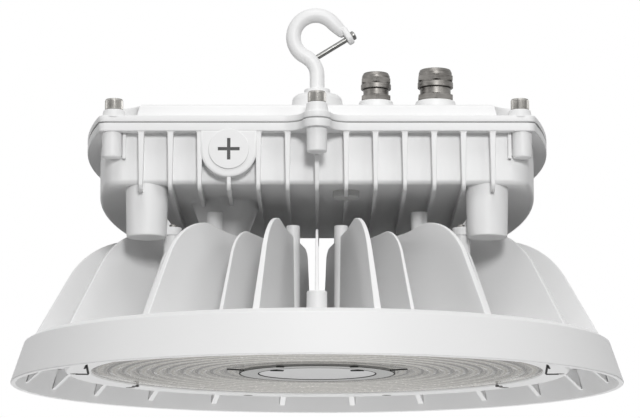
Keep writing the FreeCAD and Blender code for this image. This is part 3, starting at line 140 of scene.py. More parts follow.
def rectangle(x, y, width, depth, edge, steps=3):
    """A rectangle round its middle, with rounded corners."""
    left, right, front, back = x - width / 2, x + width / 2, y - depth / 2, y + depth / 2
    return rounded([
        (left, front, edge), (right, front, edge), (right, back, edge), (left, back, edge),
    ], steps)


def inset(outline, depth):
    """The outline moved inwards along its normals, or outwards if the depth is negative."""
    area = sum(a[0] * b[1] - b[0] * a[1] for a, b in zip(outline, outline[1:] + outline[:1]))
    side = 1 if area > 0 else -1
    moved = []
    for number, point in enumerate(outline):
        here = Vector(point)
        back = (here - Vector(outline[number - 1])).normalized()
        ahead = (Vector(outline[(number + 1) % len(outline)]) - here).normalized()
        along = (back + ahead).normalized()
        normal = Vector((-along.y, along.x)) * side
        spread = max(along.dot(ahead), 0.5)
        moved.append(tuple(here + normal * depth / spread))
    return moved


def nearest_on(outline, point):
    """The point of a closed outline that is nearest to a point."""
    here = Vector(point)
    best = None
    for start, end in zip(outline, outline[1:] + outline[:1]):
        start, end = Vector(start), Vector(end)
        way = end - start
        share = min(max((here - start).dot(way) / way.length_squared, 0), 1) if way.length_squared else 0
        found = start + way * share
        if best is None or (found - here).length < (best - here).length:
            best = found
    return tuple(best)


def bulging_box(depth, width, corner, side):
    """A box in plan with straight front and back, rounded corners and bulging sides."""
    lean = math.degrees(math.asin((depth - corner) / (side - corner)))
    hub = width - corner - (side - corner) * math.cos(math.radians(lean))
    right = arc((width - corner, corner - depth), corner, -90, -lean, 8)
    right += arc((hub, 0), side, -lean, lean, 24)[1:]
    right += arc((width - corner, depth - corner), corner, lean, 90, 8)[1:]
    return right + [(-x, -y) for x, y in right]


def flange_plan():
    """The joint face: as the box, but wider, with a bulge round each centre screw."""
    depth, width, corner, side = 140.0, 155.0, 5.0, 560.0
    crown, blend, seat = 10.0, 14.0, 150.0
    rise = depth + blend - seat
    foot = math.sqrt((crown + blend) ** 2 - rise ** 2)
    lean = math.degrees(math.atan2(rise, foot))
    box = bulging_box(depth, width, corner, side)
    half = len(box) // 2
    bulge = arc((-foot, -depth - blend), blend, 90, lean, 8)
    bulge += arc((0, -seat), crown, lean - 180, -lean, 14)[1:]
    bulge += arc((foot, -depth - blend), blend, 180 - lean, 90, 8)[1:]
    return bulge + box[:half] + [(-x, -y) for x, y in bulge] + box[half:]


def raised_plan():
    """The raised part of the lid: its corners are cut back round the corner screws."""
    depth, width, side_depth, side_width = 127.0, 128.0, 111.0, 145.5
    cut, side = 19.0, 600.0
    start, end = Vector((width, -depth)), Vector((side_width, -side_depth))
    middle = (start + end) / 2
    way = (end - start).normalized()
    hub = middle + Vector((way.y, -way.x)) * math.sqrt(cut ** 2 - (end - start).length_squared / 4)
    first = math.degrees(math.atan2(start.y - hub.y, start.x - hub.x))
    last = math.degrees(math.atan2(end.y - hub.y, end.x - hub.x))
    if last > first:
        last -= 360
    corner = arc(hub, cut, first, last, 8)
    lean = math.degrees(math.asin(side_depth / side))
    bulge = arc((side_width - side * math.cos(math.radians(lean)), 0), side, -lean, lean, 24)[1:-1]
    right = corner + bulge + [(x, -y) for x, y in reversed(corner)]
    return right + [(-x, -y) for x, y in right]


# shells: lists of points in millimetres and faces


def stack(rings, ends=True):
    """A skin over rings of equal length, closed at both ends."""
    count = len(rings[0])
    points = [point for ring in rings for point in ring]
    faces = []
    for row in range(len(rings) - 1):
        for column in range(count):
            after = (column + 1) % count
            low, high = row * count, (row + 1) * count
            faces.append((low + column, low + after, high + after, high + column))
    if ends:
        faces.append(tuple(range(count))[::-1])
        faces.append(tuple(range(len(points) - count, len(points))))
    return points, faces


def prism(plan, low, high):
    """A plan drawn out between two heights."""
    return stack([[(x, y, height) for x, y in plan] for height in (low, high)])


def layers(plan, steps):
    """A plan stacked up through (inset, height) steps, with flat ends that stay flat when smoothed."""
    first_inset, first_height = steps[0]
    last_inset, last_height = steps[-1]
    rim = 0.6
    steps = [(first_inset + rim, first_height)] + list(steps) + [(last_inset + rim, last_height)]
    return stack([[(x, y, height) for x, y in inset(plan, depth)] for depth, height in steps])


def ring_plate(plan, hole, steps):
    """A flat ring: its outer edge follows (inset, height) steps, its inner edge a hole's outline."""
    inner = [nearest_on(hole, point) for point in plan]
    outer_rings = [[(x, y, height) for x, y in inset(plan, depth)] for depth, height in steps]
    low, high = steps[0][1], steps[-1][1]
    rings = [[(x, y, low) for x, y in inner]] + outer_rings + [[(x, y, high) for x, y in inner]]
    return stack(rings + [rings[0]], ends=False)


def turned(outline, centre=(0, 0), count=96):
    """A closed outline of (radius, height), turned about a standing axis."""
    rings = []
    for radius, height in outline + outline[:1]:
        rings.append([
            (centre[0] + x, centre[1] + y, height) for x, y in arc((0, 0), radius, 0, 360, count)[:-1]
        ])
    return stack(rings, ends=False)


def cylinder(radius, low, high, centre=(0, 0), count=48):
    """A plain standing cylinder."""
    return turned([(0, low), (radius, low), (radius, high), (0, high)], centre, count)


def laid(shell, place):
    """A shell whose points are put through a function of a point."""
    points, faces = shell
    return [tuple(place(Vector(point))) for point in points], faces


def facing_front(shell, x, y, z):
    """A shell that was drawn standing up, laid down so that its top faces the front."""
    return laid(shell, lambda p: (x + p.x, y - p.z, z + p.y))


def blade(outline, thickness, draft, edge, base):
    """An upright plate in the XZ plane that thins towards its top and has rounded edges."""
    slope = math.tan(math.radians(draft))
    ring_insets = [(edge * (1 - math.sin(angle)), edge * (1 - math.cos(angle))) for angle in quarter(4)]
    rings = []
    flat = inset(outline, edge + 0.5)
    rows = [(flat, 0.0)] + [(inset(outline, depth), drop) for depth, drop in ring_insets]
    for side in (1, -1):
        ordered = rows if side > 0 else rows[-2::-1]
        for ring, drop in ordered:
            rings.append([
                (x, side * max(thickness / 2 - (z - base) * slope - drop, 0.0), z) for x, z in ring
            ])
    return stack(rings)


def joined(shells):
    """Several shells as one list of points and one of faces."""
    points, faces = [], []
    for shell_points, shell_faces in shells:
        start = len(points)
        points.extend(shell_points)
        faces.extend(tuple(start + index for index in face) for face in shell_faces)
    return points, faces


# pieces


def new_object(name, shells):
    """An object in metres, from shells in millimetres, with its normals outwards."""
    points, faces = joined(shells)
    mesh = bpy.data.meshes.new(name)
    mesh.from_pydata([[value * MM for value in point] for point in points], [], faces)
    work = bmesh.new()
    work.from_mesh(mesh)
    bmesh.ops.remove_doubles(work, verts=work.verts, dist=1e-7)
    bmesh.ops.recalc_face_normals(work, faces=work.faces)
    work.to_mesh(mesh)
    work.free()
    item = bpy.data.objects.new(name, mesh)
    scene.collection.objects.link(item)
    return item


def baked(item):
    """Turns what an object's modifiers make into its plain mesh."""
    graph = bpy.context.evaluated_depsgraph_get()
    graph.update()
    mesh = bpy.data.meshes.new_from_object(item.evaluated_get(graph), depsgraph=graph)
    item.modifiers.clear()
    item.data = mesh
    return item


def smooth(item):
    """Shades rounds smoothly, keeps sharp edges sharp and lets the wide faces stay flat."""
    sharp_angle, weight_of_wide_faces = 32, 90
    item.data.shade_smooth()
    item.data.set_sharp_from_angle(angle=math.radians(sharp_angle))
    flats = item.modifiers.new("Flats", "WEIGHTED_NORMAL")
    flats.keep_sharp = True
    flats.weight = weight_of_wide_faces
    baked(item)


def settle(item, material, slot, *nodes):
    """Gives a piece its finish and its place in the frame."""
    item.data.materials.clear()
    item.data.materials.append(material)
    smooth(item)
    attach(item, "root")
    if nodes:
        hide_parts(*nodes)
    return item


def cut_away(item, tools):
    """Takes other shells out of a piece."""
    tool = new_object(item.name + "_tool", tools)
    modifier = item.modifiers.new("Cut", "BOOLEAN")
    modifier.operation = "DIFFERENCE"
    modifier.solver = "EXACT"
    modifier.object = tool
    baked(item)
    bpy.data.objects.remove(tool)
    return item


# node trees that repeat a shape


def new_tree(name, sockets):
    """A Geometry Nodes tree with its input and output nodes."""
    tree = bpy.data.node_groups.new(name, "GeometryNodeTree")
    tree.interface.new_socket(name="Shape", in_out="INPUT", socket_type="NodeSocketGeometry")
    for label, kind in sockets:
        tree.interface.new_socket(name=label, in_out="INPUT", socket_type=kind)
    tree.interface.new_socket(name="Material", in_out="INPUT", socket_type="NodeSocketMaterial")
    tree.interface.new_socket(name="Shape", in_out="OUTPUT", socket_type="NodeSocketGeometry")
    return tree, tree.nodes.new("NodeGroupInput"), tree.nodes.new("NodeGroupOutput")


def math_node(tree, operation, first, second=None):
    """A Math node whose inputs are sockets or numbers."""
    node = tree.nodes.new("ShaderNodeMath")
    node.operation = operation
    for socket, value in zip(node.inputs, (first, second)):
        if isinstance(value, bpy.types.NodeSocket):
            tree.links.new(value, socket)
        elif value is not None:
            socket.default_value = value
    return node.outputs[0]


def finish_tree(tree, inputs, outputs, points, rotation=None):
    """Ends a tree: a real copy of the shape on each point, turned if wanted, in the material."""
    place = tree.nodes.new("GeometryNodeInstanceOnPoints")
    tree.links.new(points, place.inputs["Points"])
    tree.links.new(inputs.outputs["Shape"], place.inputs["Instance"])
    if rotation:
        tree.links.new(rotation, place.inputs["Rotation"])
    realize = tree.nodes.new("GeometryNodeRealizeInstances")
    paint = tree.nodes.new("GeometryNodeSetMaterial")
    tree.links.new(place.outputs[0], realize.inputs[0])
    tree.links.new(realize.outputs[0], paint.inputs["Geometry"])
    tree.links.new(inputs.outputs["Material"], paint.inputs["Material"])
    tree.links.new(paint.outputs[0], outputs.inputs["Shape"])
    return tree


def ring_tree():
    """Repeats a shape round the lamp's axis."""
    tree, inputs, outputs = new_tree("Shapes round the axis", [
        ("Count", "NodeSocketInt"), ("First angle", "NodeSocketFloat"),
    ])
    points = tree.nodes.new("GeometryNodePoints")
    tree.links.new(inputs.outputs["Count"], points.inputs["Count"])
    index = tree.nodes.new("GeometryNodeInputIndex")
    share = math_node(tree, "DIVIDE", index.outputs[0], inputs.outputs["Count"])
    turn = math_node(tree, "MULTIPLY", share, 2 * math.pi)
    angle = math_node(tree, "ADD", turn, inputs.outputs["First angle"])
    rotation = tree.nodes.new("ShaderNodeCombineXYZ")
    tree.links.new(angle, rotation.inputs["Z"])
    return finish_tree(tree, inputs, outputs, points.outputs[0], rotation.outputs[0])


def row_tree():
    """Repeats a shape in a row along X, centred on the lamp."""
    tree, inputs, outputs = new_tree("Ribs in a row", [
        ("Count", "NodeSocketInt"), ("Pitch", "NodeSocketFloat"),
    ])
    steps = math_node(tree, "SUBTRACT", inputs.outputs["Count"], 1.0)
    reach = math_node(tree, "MULTIPLY", steps, inputs.outputs["Pitch"])
    first = math_node(tree, "MULTIPLY", reach, -0.5)
    start = tree.nodes.new("ShaderNodeCombineXYZ")
    tree.links.new(first, start.inputs["X"])
    offset = tree.nodes.new("ShaderNodeCombineXYZ")
    tree.links.new(inputs.outputs["Pitch"], offset.inputs["X"])
    line = tree.nodes.new("GeometryNodeMeshLine")
    tree.links.new(inputs.outputs["Count"], line.inputs["Count"])
    tree.links.new(start.outputs[0], line.inputs["Start Location"])
    tree.links.new(offset.outputs[0], line.inputs["Offset"])
    return finish_tree(tree, inputs, outputs, line.outputs[0])


def circles_tree():
    """Repeats a small shape at an even pitch along circles that share a centre."""
    tree, inputs, outputs = new_tree("Lights in rings", [
        ("Rings", "NodeSocketInt"), ("First radius", "NodeSocketFloat"),
        ("Ring step", "NodeSocketFloat"), ("Pitch", "NodeSocketFloat"),
    ])
    rings = tree.nodes.new("GeometryNodePoints")
    tree.links.new(inputs.outputs["Rings"], rings.inputs["Count"])
    index = tree.nodes.new("GeometryNodeInputIndex")
    growth = math_node(tree, "MULTIPLY", index.outputs[0], inputs.outputs["Ring step"])
    radius = math_node(tree, "ADD", growth, inputs.outputs["First radius"])
    circle = tree.nodes.new("GeometryNodeCurvePrimitiveCircle")
    circle.inputs["Radius"].default_value = 1.0
    circle.inputs["Resolution"].default_value = 128
    circles = tree.nodes.new("GeometryNodeInstanceOnPoints")
    tree.links.new(rings.outputs[0], circles.inputs["Points"])
    tree.links.new(circle.outputs[0], circles.inputs["Instance"])
    tree.links.new(radius, circles.inputs["Scale"])
    real = tree.nodes.new("GeometryNodeRealizeInstances")
    tree.links.new(circles.outputs[0], real.inputs[0])
    even = tree.nodes.new("GeometryNodeResampleCurve")
    even.mode = "LENGTH"
    tree.links.new(real.outputs[0], even.inputs["Curve"])
    tree.links.new(inputs.outputs["Pitch"], even.inputs["Length"])
    tangent = tree.nodes.new("GeometryNodeInputTangent")
    turn = tree.nodes.new("FunctionNodeAlignRotationToVector")
    turn.axis = "Y"
    tree.links.new(tangent.outputs[0], turn.inputs["Vector"])
    return finish_tree(tree, inputs, outputs, even.outputs[0], turn.outputs[0])


def places_tree():
    """Puts a copy of a shape on each point of another object."""
    tree, inputs, outputs = new_tree("Screws in their holes", [("Places", "NodeSocketObject")])
    info = tree.nodes.new("GeometryNodeObjectInfo")
    tree.links.new(inputs.outputs["Places"], info.inputs["Object"])
    return finish_tree(tree, inputs, outputs, info.outputs["Geometry"])


def grow(item, tree, material, **sizes):
    """Runs a tree over an object, its inputs given by name, and keeps the result as its mesh."""
    modifier = item.modifiers.new(tree.name, "NODES")
    modifier.node_group = tree
    wanted = {name.replace("_", " ").capitalize(): value for name, value in sizes.items()}
    wanted["Material"] = material
    for socket in tree.interface.items_tree:
        if socket.in_out == "INPUT" and socket.name in wanted:
            modifier[socket.identifier] = wanted[socket.name]
    item.update_tag()
    return baked(item)


def points_object(name, places):
    """An object of loose points, in millimetres."""
    mesh = bpy.data.meshes.new(name)
    mesh.from_pydata([[value * MM for value in place] for place in places], [], [])
    item = bpy.data.objects.new(name, mesh)
    scene.collection.objects.link(item)
    return item


# finishes


class Finish:
    """A material that is built up from nodes on Object coordinates."""

    def __init__(self, name, roughness, metallic=0.0, **plain):
        self.material = bpy.data.materials.new(name)
        self.material.use_nodes = True
        self.nodes = self.material.node_tree.nodes
        self.links = self.material.node_tree.links
        self.shader = self.nodes["Principled BSDF"]
        self.shader.inputs["Roughness"].default_value = roughness
        self.shader.inputs["Metallic"].default_value = metallic
        for label, value in plain.items():
            self.shader.inputs[label.replace("_", " ")].default_value = value
        self.coordinates = self.nodes.new("ShaderNodeTexCoord").outputs["Object"]

    def noise(self, scale, detail=2.0, stretch=None):
        """Grain of about 1 / scale metres, stretched along an axis if wanted."""
        noise = self.nodes.new("ShaderNodeTexNoise")
        noise.inputs["Scale"].default_value = scale
        noise.inputs["Detail"].default_value = detail
        source = self.coordinates
        if stretch:
            mapping = self.nodes.new("ShaderNodeMapping")
            mapping.inputs["Scale"].default_value = stretch
            self.links.new(source, mapping.inputs["Vector"])
            source = mapping.outputs[0]
        self.links.new(source, noise.inputs["Vector"])
        return noise.outputs["Fac"]

    def ramp(self, source, stops):
        """Maps a value to colours at (position, colour) stops."""
        ramp = self.nodes.new("ShaderNodeValToRGB")
        elements = ramp.color_ramp.elements
        while len(elements) < len(stops):
            elements.new(0.5)
        for element, (position, colour) in zip(elements, stops):
            element.position = position
            element.color = (*colour, 1.0)
        self.links.new(source, ramp.inputs["Fac"])
        return ramp.outputs["Color"]

    def remap(self, source, low, high):
        """Spreads the middle of a noise between two values."""
        node = self.nodes.new("ShaderNodeMapRange")
        node.inputs["From Min"].default_value = 0.3
        node.inputs["From Max"].default_value = 0.7
        node.inputs["To Min"].default_value = low
        node.inputs["To Max"].default_value = high
        self.links.new(source, node.inputs["Value"])
        return node.outputs["Result"]

    def colour(self, source):
        self.links.new(source, self.shader.inputs["Base Color"])

    def roughness(self, source, low, high):
        self.links.new(self.remap(source, low, high), self.shader.inputs["Roughness"])

    def bump(self, source, distance, strength=1.0):
        bump = self.nodes.new("ShaderNodeBump")
        bump.inputs["Distance"].default_value = distance
        bump.inputs["Strength"].default_value = strength
        self.links.new(source, bump.inputs["Height"])
        self.links.new(bump.outputs["Normal"], self.shader.inputs["Normal"])


def tint(colour, factor):
    """A colour made a little lighter or darker."""
    return tuple(min(channel * factor, 1.0) for channel in colour)


def powder_coat(name, colour, grain=0.00006):
    """Satin powder coat: a fine orange peel, faint cloudiness and an uneven gloss."""
    finish = Finish(name, 0.42, Specular_IOR_Level=0.45)
    cloud = finish.noise(9.0, 3.0)
    finish.colour(finish.ramp(cloud, [(0.3, tint(colour, 0.975)), (0.7, colour)]))
    peel = finish.noise(650.0, 3.0)
    finish.roughness(peel, 0.38, 0.5)
    finish.bump(peel, grain, 0.6)
    return finish.material


def moulded(name, colour, roughness, speck=0.97, bump=0.00003, **plain):
    """Moulded plastic or rubber: a fine texture and slight unevenness of colour."""
    finish = Finish(name, roughness, **plain)
    cloud = finish.noise(60.0, 4.0)
    finish.colour(finish.ramp(cloud, [(0.35, tint(colour, speck)), (0.65, colour)]))
    grain = finish.noise(1500.0, 2.0)
    finish.roughness(grain, roughness * 0.9, roughness * 1.15)
    finish.bump(grain, bump, 0.5)
    return finish.material


def metal(name, dark, light, roughness, stretch, bump=0.00002):
    """Turned or drawn metal: fine tool marks along one direction and a slight tarnish."""
    finish = Finish(name, roughness, metallic=1.0)
    marks = finish.noise(420.0, 4.0, stretch)
    tarnish = finish.noise(70.0, 3.0)
    tree = finish.material.node_tree
    both = math_node(tree, "MULTIPLY", math_node(tree, "ADD", marks, tarnish), 0.5)
    finish.colour(finish.ramp(both, [(0.35, dark), (0.65, light)]))
    finish.roughness(marks, roughness * 0.8, roughness * 1.3)
    finish.bump(marks, bump, 0.5)
    return finish.material


WHITE = (0.86, 0.86, 0.86)
white_coat = powder_coat("White powder coat", WHITE)
hook_coat = powder_coat("Hook powder coat", WHITE, 0.00003)
WHITE_FINISH = (white_coat, "white_powder_coat")
plug_coat = powder_coat("Plug powder coat", (0.85, 0.85, 0.85), 0.00003)
along_the_axis, round_the_axis, fine_marks = (1.0, 1.0, 0.02), (0.3, 0.3, 4.0), 0.000005
stainless = metal(
    "Stainless steel", (0.2, 0.195, 0.185), (0.42, 0.41, 0.392), 0.48, along_the_axis, fine_marks)
dark_steel = metal("Dark zinc plate", (0.16, 0.16, 0.155), (0.3, 0.3, 0.29), 0.33, (0.3, 1.0, 0.3))
nickel = metal(
    "Nickel plate", (0.11, 0.104, 0.097), (0.26, 0.25, 0.237), 0.42, round_the_axis, fine_marks)
# dark grey that paints the shade inside the plug's cross slot
slot_shade = moulded("Slot floor", (0.1, 0.1, 0.1), 0.7)
silicone = moulded("Grey silicone", (0.36, 0.36, 0.36), 0.7)
# black rubber for the gland seals; the same dark also paints the shade in the gaps at the catches and round
# the centre
rubber_and_gap_shade = moulded("Black rubber", (0.02, 0.02, 0.02), 0.75)
ring_plastic = moulded("Ring plastic", (0.6, 0.6, 0.59), 0.3, Coat_Weight=0.2)
cover_plastic = moulded("Cover plastic", (0.78, 0.78, 0.78), 0.35, Coat_Weight=0.2)
vent_plastic = moulded("Vent plastic", (0.62, 0.62, 0.61), 0.55)
terminal_plastic = moulded("Terminal plastic", (0.7, 0.7, 0.62), 0.5)
wire_jacket = moulded("Wire jacket", (0.32, 0.02, 0.015), 0.45)
board_mask = moulded("Board mask", (0.78, 0.78, 0.74), 0.25, 0.93, Coat_Weight=0.3)
led_phosphor = moulded("Light phosphor", (0.86, 0.7, 0.3), 0.3, 0.9, Coat_Weight=0.5)
driver_case = metal("Driver case", (0.5, 0.5, 0.51), (0.66, 0.66, 0.67), 0.45, (0.1, 1.0, 1.0))


def clear_lens():
    """Moulded lens: painted highlights on its crests, painted shade in the grooves between them and a fine
    sparkle.
    """
    finish = Finish("Clear lens", 0.14, Specular_IOR_Level=0.7, Coat_Weight=0.5)
    tree = finish.material.node_tree
    flat = finish.nodes.new("ShaderNodeVectorMath")
    flat.operation = "MULTIPLY"
    flat.inputs[1].default_value = (1.0, 1.0, 0.0)
    finish.links.new(finish.coordinates, flat.inputs[0])
    radius = finish.nodes.new("ShaderNodeVectorMath")
    radius.operation = "LENGTH"
    finish.links.new(flat.outputs[0], radius.inputs[0])
    first = (FIRST_LENS_RING - LENS_RING_STEP / 2) * MM
    phase = math_node(tree, "SUBTRACT", radius.outputs["Value"], first)
    rings = math_node(tree, "DIVIDE", phase, LENS_RING_STEP * MM)
    sparkle = finish.noise(420.0, 4.0)
    shift = math_node(tree, "MULTIPLY", sparkle, 0.3)
    across = math_node(tree, "ADD", math_node(tree, "FRACT", rings), shift)
    # bands across each ridge: painted shade in the grooves, painted highlights on the crests, warm where the
    # lights stand above them; the sparkle shifts them a little as painted glints
    finish.colour(finish.ramp(across, [
        (0.08, (0.40, 0.39, 0.38)), (0.22, (0.68, 0.66, 0.62)), (0.34, (0.50, 0.49, 0.47)),
        (0.56, (0.84, 0.82, 0.78)), (0.72, (0.66, 0.63, 0.57)), (0.86, (0.76, 0.75, 0.72)),
        (1.0, (0.42, 0.41, 0.40)),
    ]))
    finish.roughness(sparkle, 0.08, 0.3)
    finish.bump(sparkle, 0.0003, 0.6)
    return finish.material


lens_clear = clear_lens()

ROUND_THE_AXIS = ring_tree()
IN_A_ROW = row_tree()
IN_RINGS = circles_tree()
ON_PLACES = places_tree()


# light head: one casting


def fin(outline, thickness, draft):
    """An upright fin: its thickness is measured where it leaves the plate."""
    edge = 0.7
    return blade(outline, thickness, draft, edge, PLATE_TOP)


def fin_outline():
    """Main fin, from its inner foot over the crest to the foot at the rim."""
    crest = arc_to((140.0, 105.5), (187.0, 77.0), 55.0, 12)
    return rounded([
        (36.6, 20.0), (36.6, 55.0, 12.0), (42.4, 93.0, 6.0), (50.0, 97.0, 8.0), (117.0, 101.3, 30.0),
        (*crest[0], 20.0), *crest[1:], (212.5, 31.5), (216.5, 20.0),
    ])


def minor_fin_outline():
    """The lower fin between two main fins."""
    crest = arc_to((130.0, 99.0), (157.0, 78.0), 32.0, 10)
    return rounded([(60.0, 20.0), (60.0, 96.0, 5.0), (*crest[0], 15.0), *crest[1:], (181.5, 20.0)])


def arc_to(start, end, radius, steps):
    """The arc that bulges up and outwards between two points."""
    start, end = Vector(start), Vector(end)
    way = end - start
    rise = math.sqrt(radius ** 2 - way.length_squared / 4)
    hub = (start + end) / 2 + Vector((way.y, -way.x)).normalized() * rise
    first = math.degrees(math.atan2(start.y - hub.y, start.x - hub.x))
    last = math.degrees(math.atan2(end.y - hub.y, end.x - hub.x))
    return arc(hub, radius, first, last, steps)


def duct_room():
    """The round room between the fins that the cable duct stands in."""
    room, top = 1.5, 120.0
    return cylinder(DUCT_RADIUS + room, PLATE_TOP + 0.2, top, DUCT)


def make_fins():
    """Main fins, with a thinner and lower one in the middle of each gap."""
    for name, outline, thickness, draft, first in (
        ("main_fins", fin_outline(), 5.2, 0.85, FIN_STEP / 2 - 90),
        ("minor_fins", minor_fin_outline(), 3.3, 0.55, -90),
    ):
        fins = new_object(name, [fin(outline, thickness, draft)])
        grow(fins, ROUND_THE_AXIS, white_coat, count=FIN_COUNT, first_angle=math.radians(first))
        cut_away(fins, [duct_room()])
        settle(fins, *WHITE_FINISH, "heat_sink")


def make_rim():
    """The flared rim, the plate that carries the fins and the little webs that join them."""
    rim = turned(rounded([
        (224.0, 0.0, 0.8), (228.0, 0.0, 0.9), (218.0, 30.0, 1.6), (213.0, 33.0, 1.2), (208.5, 33.0, 0.8),
        (208.5, 30.0, 0.6), (214.0, 29.0, 1.0),
    ]), count=256)
    plate = turned(rounded([
        (0, PLATE_BOTTOM), (173.5, PLATE_BOTTOM, 0.5), (173.5, PLATE_EDGE_BOTTOM, 0.3),
        (189.0, PLATE_EDGE_BOTTOM, 0.6), (189.0, PLATE_TOP, 1.5), (0, PLATE_TOP),
    ]), count=256)
    web_thickness, web_edge = 4.6, 0.5
    web = blade(rounded([
        (187.0, 16.5), (208.5, 16.0), (222.4, 4.6, 0.6), (218.0, 21.0), (187.0, 21.0),
    ]), web_thickness, 0.0, web_edge, 0.0)
    body = new_object("rim_and_plate", [rim, plate])
    settle(body, *WHITE_FINISH, "heat_sink")
    webs = new_object("rim_webs", [web])
    web_count = 24
    grow(webs, ROUND_THE_AXIS, white_coat, count=web_count, first_angle=math.radians(180 / web_count - 90))
    settle(webs, *WHITE_FINISH, "heat_sink")


def make_columns():
    """Round columns that stand between the fins."""
    shells = []
    foot = PLATE_TOP - 2
    for ring, radius, top, angles in (
        (89.0, 5.0, 108.0, (-11.25, 11.25, 168.75, -168.75)),
        (105.0, 5.8, 120.0, (-135, -45, 45, 135)),
        (175.0, 7.0, 49.0, (0, 90, 180, 270)),
        (math.hypot(*SEATS[0]), 6.5, EAR_BOTTOM, (-135, -45, 45, 135)),
    ):
        for angle in angles:
            place = (ring * math.sin(math.radians(angle)), -ring * math.cos(math.radians(angle)))
            shells.append(turned(rounded([
                (0, foot), (radius + 3.5, foot), (radius + 0.4, PLATE_TOP + 3, 3.0),
                (radius, top, 0.9), (radius - 2.4, top, 0.5), (radius - 3.0, top - 1.2, 0.3),
                (0, top - 1.2),
            ]), place, 48))
    item = new_object("columns", shells)
    settle(item, *WHITE_FINISH, "heat_sink")


# light board and lens


# Painted shade in the gaps at the catches, the same on both sides of the lamp. Each has the radius and
# bearing of its middle, its length, its width and its turn. Bearings are in degrees from the front,
# turns in degrees from the X axis.
SIDE_CATCH = (175.5, 90.0, 9.5, 4.5, 9.0)
SIDE_SLIT = (172.0, 79.0, 57.0, 1.6, -86.5)
SIDE_SLIT_END = (177.0, 72.0, 28.0, 1.4, -82.0)
BACK_CATCH = (170.0, 123.5, 5.0, 4.0, 18.0)
LENS_TAB = (68.0, 62.0, 14.0, 1.6, 31.0)
COVER_GRIP = (39.5, 48.5, 9.5, 4.2, 9.0)
CENTRE_CATCH = (58.5, 27.5, 6.0, 1.8, 8.0)
CATCH_GAPS = (SIDE_CATCH, SIDE_SLIT, SIDE_SLIT_END, BACK_CATCH, LENS_TAB, COVER_GRIP, CENTRE_CATCH)


def make_lights():
    """The light sources: small square bodies in rings under the board."""
    side, thickness = 2.8, 0.7
    half = side / 2
    board_bottom = PLATE_BOTTOM - 1.6
    low, high = board_bottom - thickness, board_bottom
    chip = stack([
        [(x, y, z) for x, y in ((-w, -w), (w, -w), (w, w), (-w, w))]
        for w, z in ((half * 0.8, low), (half, low + 0.2), (half, high))
    ])
    item = new_object("light_chips", [chip])
    grow(item, IN_RINGS, led_phosphor, rings=LIGHT_RINGS, first_radius=FIRST_LIGHT_RING * MM,
         ring_step=LIGHT_RING_STEP * MM, pitch=LIGHT_PITCH * MM)
    settle(item, led_phosphor, "led_amber", "leds")


def make_lens():
    """A ring with round ridges on its lower face."""
    ridge = 1.0
    outline = [(55.0, PLATE_EDGE_BOTTOM), (55.0, LENS_BOTTOM)]
    first = FIRST_LENS_RING - LENS_RING_STEP / 2
    steps = 8
    for step in range(LENS_RINGS * steps + 1):
        wave = (1 - math.cos(2 * math.pi * step / steps)) / 2
        outline.append((first + LENS_RING_STEP * step / steps, LENS_BOTTOM - ridge * wave))
    outline += [(171.0, LENS_BOTTOM), (171.0, PLATE_EDGE_BOTTOM)]
    item = new_object("lens_ring", [turned(outline, count=192)])
    settle(item, lens_clear, "lens_clear", "lens")


def make_lens_frame():
    """The ring that holds the lens, with its countersunk screw holes."""
    item = new_object("lens_frame_ring", [turned(rounded([
        (168.0, LENS_BOTTOM, 0.2), (168.8, FRAME_BOTTOM, 0.5), (186.5, FRAME_BOTTOM, 0.8),
        (188.0, FRAME_BOTTOM + 1.5, 0.5), (188.0, PLATE_EDGE_BOTTOM), (171.15, PLATE_EDGE_BOTTOM),
        (171.15, LENS_BOTTOM),
    ], 4), count=256)])
    ring, count, wide, deep = 181.0, 10, 3.95, 1.8
    sinks = []
    for number in range(count):
        angle = math.radians((number + 0.5) * 360 / count)
        place = (ring * math.sin(angle), -ring * math.cos(angle))
        low = FRAME_BOTTOM - 0.1
        sinks.append(turned([
            (0, low), (wide + 0.1, low), (wide - deep, FRAME_BOTTOM + deep), (wide - deep, PLATE_BOTTOM),
            (0, PLATE_BOTTOM),
        ], place, 24))
    cut_away(item, sinks)
    settle(item, *WHITE_FINISH, "lens_frame")


def make_painted_catch_shade():
    """Thin dark pieces of painted shade where the catches leave gaps, each with its mirror image."""
    low, high = FRAME_BOTTOM - 0.5, FRAME_BOTTOM + 0.4
    shells = []
    for radius, bearing, length, width, turn in CATCH_GAPS:
        bearing, turn = math.radians(bearing), math.radians(turn)
        for side in (1, -1):
            middle = Vector((-radius * math.sin(bearing) * side, -radius * math.cos(bearing)))
            along = Vector((math.cos(turn) * side, math.sin(turn)))
            across = Vector((-along.y, along.x)) * width / 2
            along *= length / 2
            plan = [
                middle - along - across, middle + along - across,
                middle + along + across, middle - along + across,
            ]
            shells.append(prism(plan, low, high))
    gap_shade = new_object("clip_gaps", shells)
    # these pieces take the black rubber finish but are no seals: their dark is painted shade
    settle(gap_shade, rubber_and_gap_shade, "black_rubber", "lens_frame")


